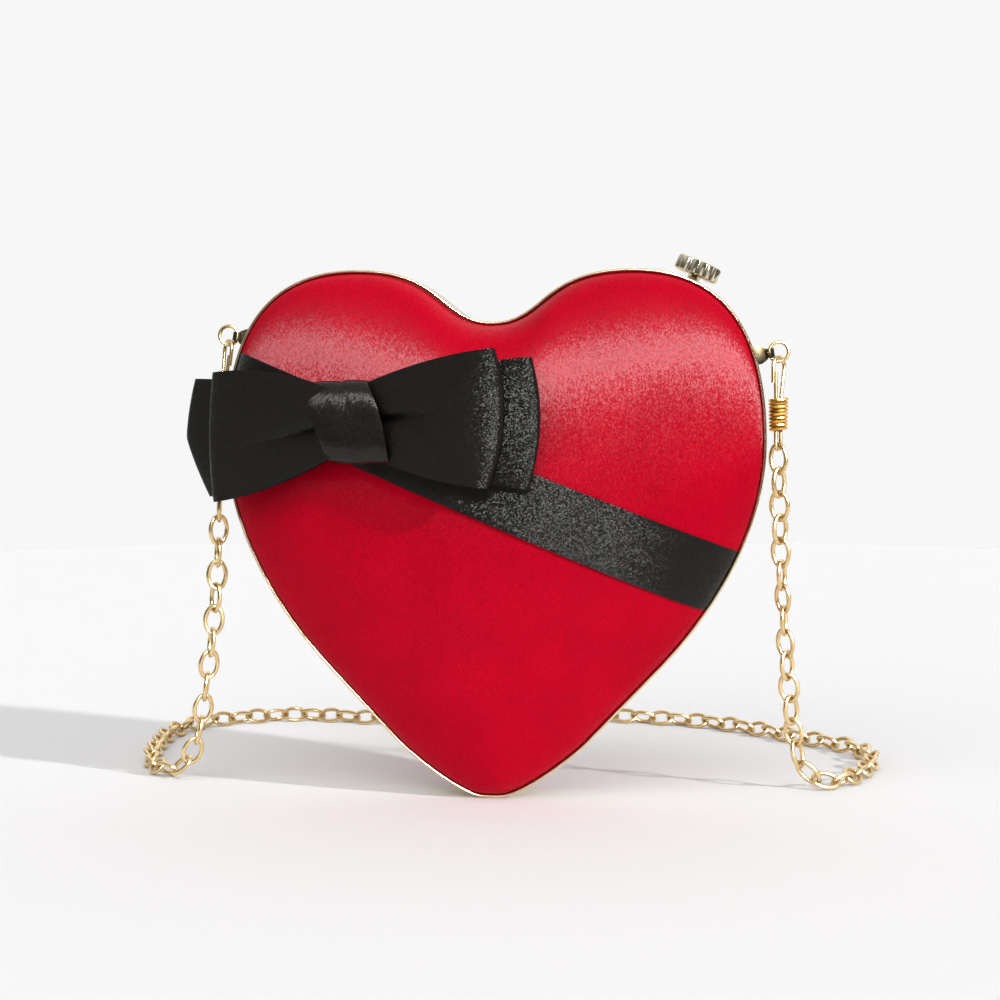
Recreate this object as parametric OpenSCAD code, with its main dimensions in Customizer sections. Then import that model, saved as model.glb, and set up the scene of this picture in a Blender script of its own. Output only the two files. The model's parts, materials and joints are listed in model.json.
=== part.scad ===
// Heart shaped evening purse. Two satin covered shells sit in a hinged metal frame with a
// push clasp. A ribbon with a double bow crosses the lid, and a chain hangs from two snap hooks.
// X runs to the right, Y to the back and Z up. The two halves meet in the plane Y = 0.
// The origin is under the heart's tip, on the surface that the purse stands on.

/* [Heart] */
// Width of the heart over its frame
heart_w = 156; // [130:1:190]
// Height of the lobes above the tip
heart_h = 152; // [130:1:180]
// Depth of the notch below the tops of the lobes
notch_depth = 15; // [10:0.5:20]
// Width of the flat at the tip that the purse stands on
rest_flat = 5; // [3:0.5:7]
// Angle of the straight flanks that carry the hinge
flank_angle = 46.5; // [45:0.5:48]

/* [Frame] */
// Depth of one half of the frame, from the middle plane to its edge
frame_depth = 7.5; // [7:0.1:9]
// Thickness of the frame's outer wall
frame_wall = 1; // [0.8:0.1:1.2]
// Width of the frame from its outer face to the inner edge of its flange
frame_reach = 5.2; // [5:0.1:6.5]
// Thickness of the flange that the shell stands on
flange_t = 0.8; // [0.6:0.1:1]
// Gap between the closed halves
closing_gap = 0.3; // [0.2:0.05:0.5]

/* [Shells] */
// Height of each dome above the frame's edge plane
dome_rise = 21; // [16:0.5:26]
// Depth of the groove between the frame's wall and the cover, seen from the front
groove_depth = 2.3; // [2:0.1:2.8]
// Width of that groove
groove_w = 0.8; // [0.6:0.1:1]
// Height of the shell's straight skirt above the flange
skirt_h = 1.8; // [1.2:0.1:2.2]
// Thickness of the satin cover with its thin padding
cover_t = 0.6; // [0.4:0.1:0.8]
// Thickness of the moulded shell
shell_t = 1.2; // [1:0.1:1.6]
// Thickness of the lining
lining_t = 0.7; // [0.5:0.1:0.9]

/* [Hinge] */
// Length of the hinge barrel
hinge_len = 30; // [24:1:32]
// Diameter of the barrel
barrel_d = 2.4; // [2.2:0.1:2.8]
// Diameter of the hinge pin
pin_d = 1; // [0.8:0.1:1.2]
// Running clearance between the pin and its knuckles, on the radius
pin_fit = 0.04; // [0.02:0.01:0.08]
// Thickness of the hinge leaves
leaf_t = 0.4; // [0.3:0.1:0.5]
// Gap between neighbouring knuckles
knuckle_gap = 0.3; // [0.2:0.05:0.5]

/* [Clasp] */
// Diameter of the push knob
knob_d = 13; // [10:0.5:15]
// Height of the push knob
knob_h = 4.5; // [3.5:0.1:6]
// Number of flutes round the knob
flutes = 18; // [12:1:24]
// Height of the knob above the frame
knob_lift = 1.6; // [1.5:0.1:2]
// Diameter of the clasp's post
post_d = 1.8; // [1.6:0.1:2]
// Travel of the push knob
clasp_travel = 1.2; // [0.8:0.1:1.2]

/* [Strap fittings] */
// Outside diameter of the strap rings
ring_d = 6.6; // [6:0.1:8]
// Wire diameter of the strap rings
ring_wire = 1.1; // [0.9:0.1:1.2]
// Reach of the lugs from the frame to the ring's wire
lug_reach = 4.2; // [3.8:0.1:6]
// Height of the lugs where they leave the frame
lug_h = 5.4; // [4.6:0.1:6]
// Wire diameter of the snap hooks
hook_wire = 1.1; // [0.9:0.1:1.2]
// Height of the snap hooks, from the top bend to the eye
hook_h = 26.5; // [24:0.5:32]
// Wire diameter of the hooks' coil springs
spring_wire = 0.7; // [0.5:0.05:0.75]
// Turns of each coil spring
spring_turns = 9; // [6:1:9]

/* [Chain] */
// Outside length of a link
link_l = 9.4; // [9:0.1:10]
// Outside width of a link
link_w = 6.4; // [6:0.1:7]
// Wire diameter of a link
link_wire = 1.2; // [0.9:0.1:1.3]
// Play of each link in the next
link_play = 0.2; // [0.1:0.05:0.4]

/* [Ribbon and bow] */
// Thickness of the ribbon band on the lid
band_t = 0.6; // [0.4:0.1:1]
// Clearance under the ribbon and the bow
soft_gap = 0.3; // [0.2:0.05:0.5]
// Height of the bow's loops at their ends
bow_h = 37; // [30:0.5:42]
// Height of the bow where the knot gathers it
bow_waist_h = 17; // [14:0.5:19]
// Width of the knot along the bow
knot_w = 18; // [14:0.5:22]
// Height of the knot
knot_h = 22.5; // [21:0.5:26]

/* [Hidden] */

gold = "#d8b878";
pale_gold = "#ead7ac";
spring_gold = "#d99a30";
satin_red = "#c00026";
ribbon_black = "#2c2b27";
lining_black = "#1d1a1a";
shell_grey = "#b9b4ab";

// How far a cut runs past the face that it opens
overrun = 1;

// The outline: shares of the half width, and of the height, of its turning points
half_w = heart_w / 2;
flank_x_share = 0.485;
flank_z_share = 0.176;
wide_z_share = 0.674;
lobe_x_share = 0.51;
// Reach of the curves' handles, as shares of the half width
tip_reach_share = 0.077;
tip_flank_reach_share = 0.06;
flank_reach_share = 0.167;
wide_low_reach_share = 0.385;
wide_high_reach_share = 0.265;
lobe_out_reach_share = 0.428;
lobe_in_reach_share = 0.34;
notch_reach_share = 0.19;
// Steps along each of the outline's stretches: tip, flank, side, shoulder and notch
coarse_steps = [4, 2, 6, 7, 6];
fine_steps = [6, 2, 10, 12, 10];

flank_dir = [cos(flank_angle), sin(flank_angle)];
flank_mid = [half_w * flank_x_share, heart_h * flank_z_share];
flank_half = hinge_len * 0.5 + knuckle_gap;
flank_low = flank_mid - flank_dir * flank_half;
flank_top = flank_mid + flank_dir * flank_half;
wide_pt = [half_w, heart_h * wide_z_share];
lobe_pt = [half_w * lobe_x_share, heart_h];
notch_pt = [0, heart_h - notch_depth];
tip_pt = [rest_flat / 2, 0];

stretches = [
    [tip_pt, tip_pt + [half_w * tip_reach_share, 0],
        flank_low - flank_dir * half_w * tip_flank_reach_share, flank_low],
    [flank_low, (flank_low * 2 + flank_top) / 3, (flank_low + flank_top * 2) / 3, flank_top],
    [flank_top, flank_top + flank_dir * half_w * flank_reach_share,
        wide_pt - [0, half_w * wide_low_reach_share], wide_pt],
    [wide_pt, wide_pt + [0, half_w * wide_high_reach_share],
        lobe_pt + [half_w * lobe_out_reach_share, 0], lobe_pt],
    [lobe_pt, lobe_pt - [half_w * lobe_in_reach_share, 0],
        notch_pt + [half_w * notch_reach_share, 0], notch_pt]];

// A point on a cubic curve, and the direction in which the curve runs there
function curve_pt(c, t) = c[0] * pow(1 - t, 3) + c[1] * 3 * pow(1 - t, 2) * t
    + c[2] * 3 * (1 - t) * t * t + c[3] * pow(t, 3);
function curve_run(c, t) = (c[1] - c[0]) * pow(1 - t, 2) + (c[2] - c[1]) * 2 * (1 - t) * t
    + (c[3] - c[2]) * t * t;
function unit(v) = v / norm(v);
function outward(run) = unit([run[1], -run[0]]);
// A point of the outline, moved in from the frame's outer face by an inset
function rim_pt(c, t, inset) = curve_pt(c, t) - outward(curve_run(c, t)) * inset;

// The right half of the outline from the tip to the notch, then the whole of it
function half_outline(steps, inset) = [
    for (s = [0:len(stretches) - 1]) for (i = [0:steps[s] - 1]) rim_pt(stretches[s], i / steps[s], inset)];
function outline(steps, inset) = let (half = half_outline(steps, inset), last = len(half) - 1)
    concat(half, [notch_pt - [0, inset]], [for (i = [last:-1:0]) [-half[i][0], half[i][1]]]);

// Planes of one half, as distances from the middle plane
half_gap = closing_gap / 2;
flange_outer = frame_depth - groove_depth;
flange_inner = flange_outer - flange_t;
skirt_top = flange_outer + skirt_h;
band_mid = (half_gap + flange_inner) / 2;
dome_top = skirt_top + dome_rise;

// Insets of the layers from the frame's outer face
cover_inset = frame_wall + groove_w;
shell_inset = cover_inset + cover_t;
lining_inset = shell_inset + shell_t;
cavity_inset = lining_inset + lining_t;

// The dome: its rings keep the heart's outline at the edge and turn round near the middle
dome_centre = [0, heart_h * 0.575];
round_r = half_w * 0.8;
morph_power = 1.5;
edge_power = 2.4;
rise_power = 0.55;
dome_bands = 6;

// How much of the heart's outline a ring keeps, and how high it lies, by its share of the way out
function keep_share(u) = pow(u, morph_power);
function rise_share(u) = pow(max(0, 1 - pow(u, edge_power)), rise_power);
// The distance of a ring's point from the middle, in a direction where the edge is at r_edge
function ring_r(r_edge, u) = u * (round_r + (r_edge - round_r) * keep_share(u));

function dome_ring(edge, u, y) = [for (p = edge) let (d = p - dome_centre, r = norm(d),
    q = dome_centre + d / r * ring_r(r, u)) [q[0], y, q[1]]];
// One surface of a dome of the front half: a straight skirt, rings and a middle point
function dome_rings(edge, inset) = concat(
    [dome_ring(edge, 1, -flange_outer)],
    [for (b = [0:dome_bands - 1]) let (a = 90 * (1 - b / dome_bands), u = pow(sin(a), 2 / edge_power))
        dome_ring(edge, u, -skirt_top - (dome_rise - inset) * rise_share(u))]);

function ring_faces(n, lower, upper) = [for (i = [0:n - 1]) let (j = (i + 1) % n)
    each [[lower + i, lower + j, upper + i], [lower + j, upper + j, upper + i]]];
function flipped(faces) = [for (f = faces) [f[2], f[1], f[0]]];
function cap_faces(n, ring, apex) = [for (i = [0:n - 1]) [ring + i, ring + (i + 1) % n, apex]];

// A layer of a dome: an outer and an inner surface, joined by a flat edge on the flange
module dome_layer(outer_inset, inner_inset) {
    outer_edge = outline(coarse_steps, outer_inset);
    inner_edge = outline(coarse_steps, inner_inset);
    n = len(outer_edge);
    rings = dome_bands + 1;
    apex_outer = [dome_centre[0], -skirt_top - dome_rise + outer_inset - cover_inset, dome_centre[1]];
    apex_inner = [dome_centre[0], -skirt_top - dome_rise + inner_inset - cover_inset, dome_centre[1]];
    outer_rings = dome_rings(outer_edge, outer_inset - cover_inset);
    inner_rings = dome_rings(inner_edge, inner_inset - cover_inset);
    points = concat([for (r = outer_rings) each r], [apex_outer],
        [for (r = inner_rings) each r], [apex_inner]);
    inner_start = n * rings + 1;
    outer_faces = concat([for (k = [0:rings - 2]) each ring_faces(n, k * n, (k + 1) * n)],
        cap_faces(n, (rings - 1) * n, n * rings));
    inner_faces = [for (f = outer_faces) f + [inner_start, inner_start, inner_start]];
    edge_faces = ring_faces(n, inner_start, 0);
    polyhedron(points, concat(flipped(outer_faces), inner_faces, flipped(edge_faces)));
}

// A closed tube along a path, or a loft between sections, from rings with the same number of points
module skin(rings) {
    n = len(rings[0]);
    last = len(rings) - 1;
    start_mid = [for (k = [0:2]) [for (p = rings[0]) p[k]] * [for (p = rings[0]) 1] / n];
    end_mid = [for (k = [0:2]) [for (p = rings[last]) p[k]] * [for (p = rings[0]) 1] / n];
    points = concat([for (r = rings) each r], [start_mid, end_mid]);
    sides = [for (k = [0:last - 1]) each ring_faces(n, k * n, (k + 1) * n)];
    start_cap = flipped(cap_faces(n, 0, n * (last + 1)));
    end_cap = cap_faces(n, last * n, n * (last + 1) + 1);
    polyhedron(points, flipped(concat(sides, start_cap, end_cap)));
}

// The direction of a path at one of its points, and a side direction carried along without twist
function path_run(path, i) = unit(path[min(i + 1, len(path) - 1)] - path[max(i - 1, 0)]);
function carried(side, run) = unit(side - run * (side * run));
function path_sides(path, side) = [for (i = 0, s = carried(side, path_run(path, 0)); i < len(path);
    i = i + 1, s = i < len(path) ? carried(s, path_run(path, i)) : s) s];
function tube_rings(path, r, sides, side) = let (across = path_sides(path, side))
    [for (i = [0:len(path) - 1]) let (up = cross(path_run(path, i), across[i]))
        [for (k = [0:sides - 1]) let (a = 360 * k / sides)
            path[i] + (across[i] * cos(a) + up * sin(a)) * r]];

// Polygons in the XZ plane, extruded forwards from one depth to another
module front_plate(points, from_y, to_y) {
    translate([0, -from_y, 0]) rotate([90, 0, 0]) linear_extrude(to_y - from_y) polygon(points);
}

// One half of the frame: an outer wall, and a flange that the shell stands on
module frame_half() {
    difference() {
        front_plate(outline(fine_steps, 0), half_gap, frame_depth);
        front_plate(outline(fine_steps, frame_wall), half_gap - overrun, flange_inner);
        front_plate(outline(fine_steps, frame_wall), flange_outer, frame_depth + overrun);
        front_plate(outline(fine_steps, frame_reach), flange_inner - overrun, flange_outer + overrun);
        hinge_relief();
    }
}

// Hinge. Its frame of reference has X along the pin, upwards, Y to the back and Z outwards.
barrel_r = barrel_d / 2;
relief_r = barrel_r + closing_gap;
module at_hinge() {
    translate([-flank_mid[0], 0, flank_mid[1]]) rotate([0, 180 + flank_angle, 0]) children();
}
knuckles = 5;
knuckle_pitch = (hinge_len + knuckle_gap) / knuckles;
knuckle_len = knuckle_pitch - knuckle_gap;
leaf_edge = flange_outer;
pin_bend_r = pin_d;
pin_room = pin_bend_r + pin_d;
module hinge_relief() {
    at_hinge() translate([-hinge_len / 2 - pin_room, 0, 0]) rotate([0, 90, 0])
        cylinder(h = hinge_len + pin_room + knuckle_gap, r = relief_r, $fn = 48);
}
// A leaf lies on the frame's outer wall, and carries every second knuckle
module hinge_leaf(first) {
    at_hinge() difference() {
        union() {
            translate([-hinge_len / 2, -leaf_edge, 0]) cube([hinge_len, leaf_edge - relief_r, leaf_t]);
            for (k = [first:2:knuckles - 1]) translate([k * knuckle_pitch - hinge_len / 2, 0, 0]) {
                rotate([0, 90, 0]) cylinder(h = knuckle_len, r = barrel_r, $fn = 48);
                translate([0, -relief_r - leaf_t, 0]) cube([knuckle_len, relief_r + leaf_t - pin_d, leaf_t]);
            }
        }
        translate([-hinge_len / 2 - overrun, 0, 0]) rotate([0, 90, 0])
            cylinder(h = hinge_len + overrun * 2, r = pin_d / 2 + pin_fit, $fn = 48);
    }
}
// The pin's lower end is turned out into a small hook
module hinge_pin() color(pale_gold) at_hinge() {
    translate([-hinge_len / 2 - knuckle_gap, 0, 0]) rotate([0, 90, 0])
        cylinder(h = hinge_len + knuckle_gap, r = pin_d / 2, $fn = 48);
    translate([-hinge_len / 2 - knuckle_gap, 0, pin_bend_r]) rotate([90, 0, 0]) rotate(180)
        rotate_extrude(angle = 90, $fn = 48) translate([pin_bend_r, 0]) circle(r = pin_d / 2, $fn = 32);
}

module rear_frame() color(gold) difference() {
    mirror([0, 1, 0]) frame_half();
    at_clasp() translate([0, 0, -frame_wall - overrun])
        cylinder(h = frame_wall + overrun * 2, r = post_d / 2 + clasp_clear, $fn = 48);
    at_lug(left_lug_share, -1) lug_slot();
    at_lug(right_lug_share, 1) lug_slot();
}
module rear_shell() color(shell_grey) mirror([0, 1, 0]) dome_layer(shell_inset, lining_inset);
module rear_cover() color(satin_red) mirror([0, 1, 0]) dome_layer(cover_inset, shell_inset);
module rear_lining() color(lining_black) mirror([0, 1, 0]) dome_layer(lining_inset, cavity_inset);
module rear_hinge_leaf() color(pale_gold) mirror([0, 1, 0]) hinge_leaf(0);
module front_frame() color(gold) frame_half();
module front_shell() color(shell_grey) dome_layer(shell_inset, lining_inset);
module front_cover() color(satin_red) dome_layer(cover_inset, shell_inset);
module front_lining() color(lining_black) dome_layer(lining_inset, cavity_inset);
module front_hinge_leaf() color(pale_gold) hinge_leaf(1);

// Clasp. Its frame of reference has Z outwards along the post, from the frame's outer face,
// Y to the back from the post's axis, and X along the rim.
clasp_share = 0.8;
clasp_clear = 0.1;
clasp_at = curve_pt(stretches[3], clasp_share);
clasp_out = outward(curve_run(stretches[3], clasp_share));
clasp_turn = atan2(clasp_out[0], clasp_out[1]);
housing_wall = 0.5;
housing_in = frame_wall + clasp_clear * 3;
housing_end = 9;
housing_back = flange_inner - band_mid;
latch_spring_wire = 0.4;
latch_spring_turns = 5;
latch_spring_r = post_d / 2 + clasp_clear + latch_spring_wire / 2;
spring_room = latch_spring_r + latch_spring_wire / 2 + clasp_clear / 2;
housing_half = spring_room + housing_wall;
module at_clasp() {
    translate([clasp_at[0], band_mid, clasp_at[1]]) rotate([0, clasp_turn, 0]) children();
}
// A closed box behind the wall, bored for the post and its spring
module clasp_housing() color(gold) at_clasp() difference() {
    translate([-housing_half, -housing_half, -housing_end])
        cube([housing_half * 2, housing_half + housing_back, housing_end - housing_in]);
    translate([0, 0, -housing_end + housing_wall * 2]) cylinder(h = housing_end, r = spring_room, $fn = 48);
    translate([0, 0, -housing_end - overrun])
        cylinder(h = housing_end, r = post_d / 2 + clasp_clear, $fn = 48);
}
collar_h = knob_lift - clasp_clear * 4;
collar_r = post_d;
collar_room = collar_r + clasp_clear * 3;
module clasp_collar() color(pale_gold) at_clasp() difference() {
    cylinder(h = collar_h, r = collar_r, $fn = 48);
    translate([0, 0, -overrun]) cylinder(h = collar_h + overrun * 2, r = post_d / 2 + clasp_clear, $fn = 48);
}
knob_chamfer = 0.5;
flute_r = 0.8;
knob_core = knob_h - knob_chamfer * 2;
post_seat = knob_h - knob_chamfer * 3;
// A fluted knob, hollow underneath so that it comes down over the collar
module clasp_knob() color(pale_gold) at_clasp() translate([0, 0, knob_lift]) difference() {
    rotate_extrude($fn = 96) polygon([[0, 0], [knob_d / 2 - knob_chamfer, 0], [knob_d / 2, knob_chamfer],
        [knob_d / 2, knob_h - knob_chamfer], [knob_d / 2 - knob_chamfer, knob_h], [0, knob_h]]);
    for (k = [0:flutes - 1]) rotate(360 * k / flutes) translate([knob_d / 2 + flute_r / 2, 0, -overrun])
        cylinder(h = knob_h + overrun * 2, r = flute_r, $fn = 24);
    translate([0, 0, -overrun]) cylinder(h = overrun + collar_h, r = collar_room, $fn = 48);
    translate([0, 0, -overrun]) cylinder(h = overrun + post_seat, r = post_d / 2, $fn = 48);
}
// The post carries a stop disc for the spring, and an arm that reaches the striker's nose
disc_t = 0.4;
disc_in = housing_in + clasp_clear;
arm_t = 1.2;
arm_in = housing_end + clasp_clear * 5;
arm_reach = housing_half + 4;
arm_half_y = 0.8;
module clasp_latch() color(gold) at_clasp() {
    translate([0, 0, -arm_in - arm_t])
        cylinder(h = arm_in + arm_t + knob_lift + post_seat, r = post_d / 2, $fn = 48);
    translate([0, 0, -disc_in - disc_t]) cylinder(h = disc_t, r = spring_room - clasp_clear, $fn = 48);
    translate([-arm_half_y, -arm_half_y, -arm_in - arm_t])
        cube([arm_reach + arm_half_y, arm_half_y * 2, arm_t]);
}
latch_spring_top = disc_in + disc_t + clasp_clear + latch_spring_wire / 2;
latch_spring_end = housing_end - housing_wall * 2 - clasp_clear - latch_spring_wire / 2;
function latch_spring_path() = [for (i = [0:latch_spring_turns * 8]) let (a = 45 * i)
    [latch_spring_r * cos(a), latch_spring_r * sin(a),
        -latch_spring_top - (latch_spring_end - latch_spring_top) * i / (latch_spring_turns * 8)]];
module clasp_spring() color(spring_gold) at_clasp()
    skin(tube_rings(latch_spring_path(), latch_spring_wire / 2, 6, [1, 0, 0]));

// The striker hangs from the front frame's flange beside the housing. Its nose sits behind the arm.
striker_x = housing_half + 1;
striker_in = frame_wall * 2;
striker_w = 2.5;
striker_t = 1;
nose_len = 0.8;
nose_end = arm_in - clasp_clear * 2;
stem_in = nose_end - nose_len;
striker_foot = flange_inner + band_mid;
striker_tip = arm_half_y + clasp_clear * 2 + striker_t;
module striker() color(gold) at_clasp() translate([striker_x, 0, 0]) {
    translate([0, -striker_foot, -stem_in]) cube([striker_w, striker_t, stem_in - striker_in]);
    translate([0, -striker_foot, -stem_in]) cube([striker_w, striker_foot + striker_tip, striker_t]);
    translate([0, striker_tip - striker_t, -nose_end]) cube([striker_w, striker_t, nose_len + striker_t]);
}

// Lugs. Their frame of reference has X outwards from the wall's outer face, and Z up the lug.
right_lug_share = 0.38;
left_lug_share = 0.46;
lug_tilt = 9;
lug_t = 1.2;
lug_fit = 0.1;
eye_r = ring_wire / 2 + 0.35;
eye_wall = 0.5;
eye_h = 2.6;
foot_t = 0.8;
foot_half_z = lug_h * 0.62;
module at_lug(share, side) {
    p = curve_pt(stretches[3], share);
    translate([side * p[0], band_mid, p[1]]) mirror([side < 0 ? 1 : 0, 0, 0])
        rotate([0, -lug_tilt, 0]) children();
}
module lug_slot() {
    translate([-frame_wall * 4, -lug_t / 2 - lug_fit, -lug_h / 2 - lug_fit])
        cube([frame_wall * 7, lug_t + lug_fit * 2, lug_h + lug_fit * 2]);
}
// A folded strap with an eye for the ring, held by a foot behind the wall
module lug(share, side) {
    out = outward(curve_run(stretches[3], share));
    lean = atan2(out[1], out[0]) - lug_tilt;
    foot_x = frame_wall + lug_fit * 2;
    foot_mid = foot_x + foot_t / 2;
    root_low = (-foot_mid + lug_h / 2 * sin(lean)) / cos(lean);
    root_high = (-foot_mid - lug_h / 2 * sin(lean)) / cos(lean);
    color(gold) at_lug(share, side) difference() {
        union() {
            translate([0, lug_t / 2, 0]) rotate([90, 0, 0]) linear_extrude(lug_t) polygon([
                [root_low, -lug_h / 2], [lug_reach * 0.4, -lug_h / 2],
                [lug_reach, -eye_h / 2], [lug_reach, eye_h / 2],
                [lug_reach * 0.4, lug_h / 2], [root_high, lug_h / 2]]);
            translate([lug_reach, 0, -eye_h / 2]) cylinder(h = eye_h, r = eye_r + eye_wall, $fn = 48);
            rotate([0, -lean, 0]) translate([-foot_x - foot_t, -lug_t, -foot_half_z])
                cube([foot_t, lug_t * 2, foot_half_z * 2]);
        }
        translate([lug_reach, 0, -eye_h]) cylinder(h = eye_h * 2, r = eye_r, $fn = 48);
    }
}
module left_lug() lug(left_lug_share, -1);
module right_lug() lug(right_lug_share, 1);

ring_mid_r = (ring_d - ring_wire) / 2;
// The ring's middle lies beyond the lug's eye
function ring_at(share, side) = let (p = curve_pt(stretches[3], share), x = lug_reach + ring_mid_r - lug_fit)
    [side * (p[0] + x * cos(lug_tilt)), band_mid, p[1] + x * sin(lug_tilt)];
module ring(share, side) {
    color(pale_gold) translate(ring_at(share, side)) rotate([90, 0, 0])
        rotate_extrude($fn = 96) translate([ring_mid_r, 0]) circle(r = ring_wire / 2, $fn = 32);
}
module left_ring() ring(left_lug_share, -1);
module right_ring() ring(right_lug_share, 1);

// Snap hooks. Their frame of reference has Z up from the middle of the eye's wire,
// and X across the hook, towards its closed leg.
hook_yaw = 55;
hook_hang = 0.2;
top_r = 2.8;
leg_x = (max(ring_wire, link_wire) + hook_wire) / 2 + 0.1;
leg_r = hook_wire / 2;
hook_top_z = hook_h - top_r;
spring_low_z = 5;
spring_high_z = 15;
stub_z = 7;
gate_pivot_z = stub_z + hook_wire;
nose_z = hook_top_z - 4.6;
gate_top_z = nose_z + 3;
gate_top_x = top_r - hook_wire - 0.2;
// The left hook hangs a little outwards, over the widest part of the frame
function hook_lean(side) = side < 0 ? 7.5 : 0;
hook_drop = hook_h - ring_wire / 2 - hook_wire / 2 - hook_hang;
function ring_low(share, side) = ring_at(share, side) - [0, 0, ring_mid_r];
// The point on a hook's axis at a height above its eye's wire
function hook_pt(share, side, height) = ring_low(share, side) + (hook_drop - height)
    * [side * sin(hook_lean(side)), 0, -cos(hook_lean(side))];
module at_hook(share, side) {
    translate(ring_low(share, side)) mirror([side < 0 ? 1 : 0, 0, 0]) rotate([0, -hook_lean(side), 0])
        rotate(hook_yaw) translate([0, 0, -hook_drop]) children();
}
// One wire: a stub in the spring, the eye, the closed leg, the top bend and the nose
function hook_path() = concat(
    [[-leg_x, 0, stub_z], [-leg_x, 0, leg_x + leg_r]],
    [for (a = [180:30:360]) [leg_x * cos(a), 0, leg_x + leg_x * sin(a)]],
    [[leg_x, 0, spring_low_z], [leg_x, 0, spring_high_z - leg_r], [leg_x * 1.2, 0, spring_high_z + leg_r]],
    [for (a = [0:20:180]) [top_r * cos(a), 0, hook_top_z + top_r * sin(a)]],
    [[-top_r, 0, nose_z]]);
module hook(share, side) {
    color(pale_gold) at_hook(share, side) skin(tube_rings(hook_path(), leg_r, 8, [0, 1, 0]));
}
module left_hook() hook(left_lug_share, -1);
module right_hook() hook(right_lug_share, 1);

// The gate stands in the spring, and its tip shuts inside the nose
function gate_path() = [[-leg_x, 0, gate_pivot_z], [-leg_x, 0, spring_high_z - leg_r * 4],
    [-leg_x * 1.05, 0, spring_high_z], [-gate_top_x, 0, nose_z - leg_r], [-gate_top_x, 0, gate_top_z]];
module gate(share, side) {
    color(pale_gold) at_hook(share, side) skin(tube_rings(gate_path(), leg_r, 8, [0, 1, 0]));
}
module left_gate() gate(left_lug_share, -1);
module right_gate() gate(right_lug_share, 1);

// The coil spring round both legs, a little wider at its top
spring_r_low = leg_x + leg_r + spring_wire / 2 + 0.1;
spring_r_high = spring_r_low + 0.2;
spring_steps = 8;
spring_rise = spring_high_z - spring_low_z - spring_wire;
function spring_path() = [for (i = [0:spring_turns * spring_steps])
    let (f = i / (spring_turns * spring_steps), a = 360 * i / spring_steps,
        r = spring_r_low + (spring_r_high - spring_r_low) * f)
    [r * cos(a), r * sin(a), spring_low_z + spring_wire / 2 + spring_rise * f]];
module hook_spring(share, side) {
    color(spring_gold) at_hook(share, side)
        skin(tube_rings(spring_path(), spring_wire / 2, 6, [1, 0, 0]));
}
module left_hook_spring() hook_spring(left_lug_share, -1);
module right_hook_spring() hook_spring(right_lug_share, 1);
// The least gap between neighbouring turns of a coil, measured on the points of its path
function coil_gap(path, wire) = let (last = len(path) - 1)
    min([for (i = [0:last - spring_steps]) for (j = [i + spring_steps - 2:min(i + spring_steps + 2, last)])
        norm(path[i] - path[j])]) - wire;
echo(hook_spring_gap = coil_gap(spring_path(), spring_wire));
echo(clasp_spring_gap = coil_gap(latch_spring_path(), latch_spring_wire));

// Chain. The strap's route from the right hook to the left one, chosen by hand.
chain_low = 2.5;
eye_hang = ring_wire / 2 + 0.15;
right_eye = hook_pt(right_lug_share, 1, eye_hang);
left_eye = hook_pt(left_lug_share, -1, eye_hang);
route = concat([right_eye, right_eye + [0.3, 0.2, -8]], [
    [82.6, 6, 68], [84.3, 10.5, 42], [87, 15, 16], [88.9, 16.6, 8], [92.3, 17, 3.6], [97, 18, chain_low],
    [104, 26, chain_low], [110, 43, chain_low], [113, 62, chain_low], [109, 81, chain_low],
    [100, 93, chain_low], [89, 105, chain_low], [78, 118, chain_low], [59, 133, chain_low],
    [31, 142, chain_low], [0, 143, chain_low], [-30, 133, chain_low], [-51, 126, chain_low],
    [-67, 128, chain_low], [-86, 131, chain_low], [-104, 122, chain_low], [-117, 107, chain_low],
    [-121, 85, chain_low], [-118, 59, chain_low], [-113, 34, chain_low], [-105.5, 17, chain_low],
    [-98.5, 11.5, 2.9], [-93.6, 9.2, 6.4], [-90.8, 8.5, 14], [-88.4, 7.8, 26], [-84.6, 6, 55],
    [-82.9, 4.2, 84]], [left_eye + [-0.2, 0.2, -8], left_eye]);
route_steps = 8;
function spline_pt(a, b, c, d, t) = (b * 2 + (c - a) * t + (a * 2 - b * 5 + c * 4 - d) * t * t
    + (b * 3 - a - c * 3 + d) * t * t * t) / 2;
function smooth_route() = let (last = len(route) - 1) concat([for (i = [0:last - 1])
    for (k = [0:route_steps - 1])
        spline_pt(route[max(i - 1, 0)], route[i], route[i + 1], route[min(i + 2, last)], k / route_steps)],
    [route[last]]);
way = smooth_route();
way_lengths = [for (i = 0, s = 0; i < len(way); i = i + 1,
    s = i < len(way) ? s + norm(way[i] - way[i - 1]) : s) s];
chain_len = way_lengths[len(way) - 1];
links = round(chain_len / (link_l - link_wire * 2 - link_play));
echo(chain_length = chain_len, links = links);
// The places where each link takes hold of the next
function way_at(s) = [for (k = [0:2]) lookup(s, [for (i = [0:len(way) - 1]) [way_lengths[i], way[i][k]]])];
holds = [for (i = [0:links]) way_at(chain_len * i / links)];
function link_run(i) = unit(holds[i + 1] - holds[i]);
// Side directions carried outwards from a link on the floor behind the purse, where they point up
middle_link = round(links / 2);
sides_to_left = [for (i = middle_link, s = [0, 0, 1]; i < links; i = i + 1,
    s = i < links ? carried(s, link_run(i)) : s) s];
sides_to_right = [for (i = middle_link, s = [0, 0, 1]; i >= 0; i = i - 1,
    s = i >= 0 ? carried(s, link_run(i)) : s) s];
function link_side(i) = i < middle_link ? sides_to_right[middle_link - i] : sides_to_left[i - middle_link];
// The turn about the chain that sets an end link square across its hook's eye
function eye_turn(i, side) = let (s = link_side(i), u = cross(link_run(i), s),
    lean = hook_lean(side),
    want = [side * -sin(hook_yaw) * cos(lean), cos(hook_yaw), -sin(hook_yaw) * sin(lean)],
    turn = atan2(want * u, want * s) - 45 - 90 * (i % 2))
    turn - 180 * round(turn / 180);
drop_links = 14;
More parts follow.
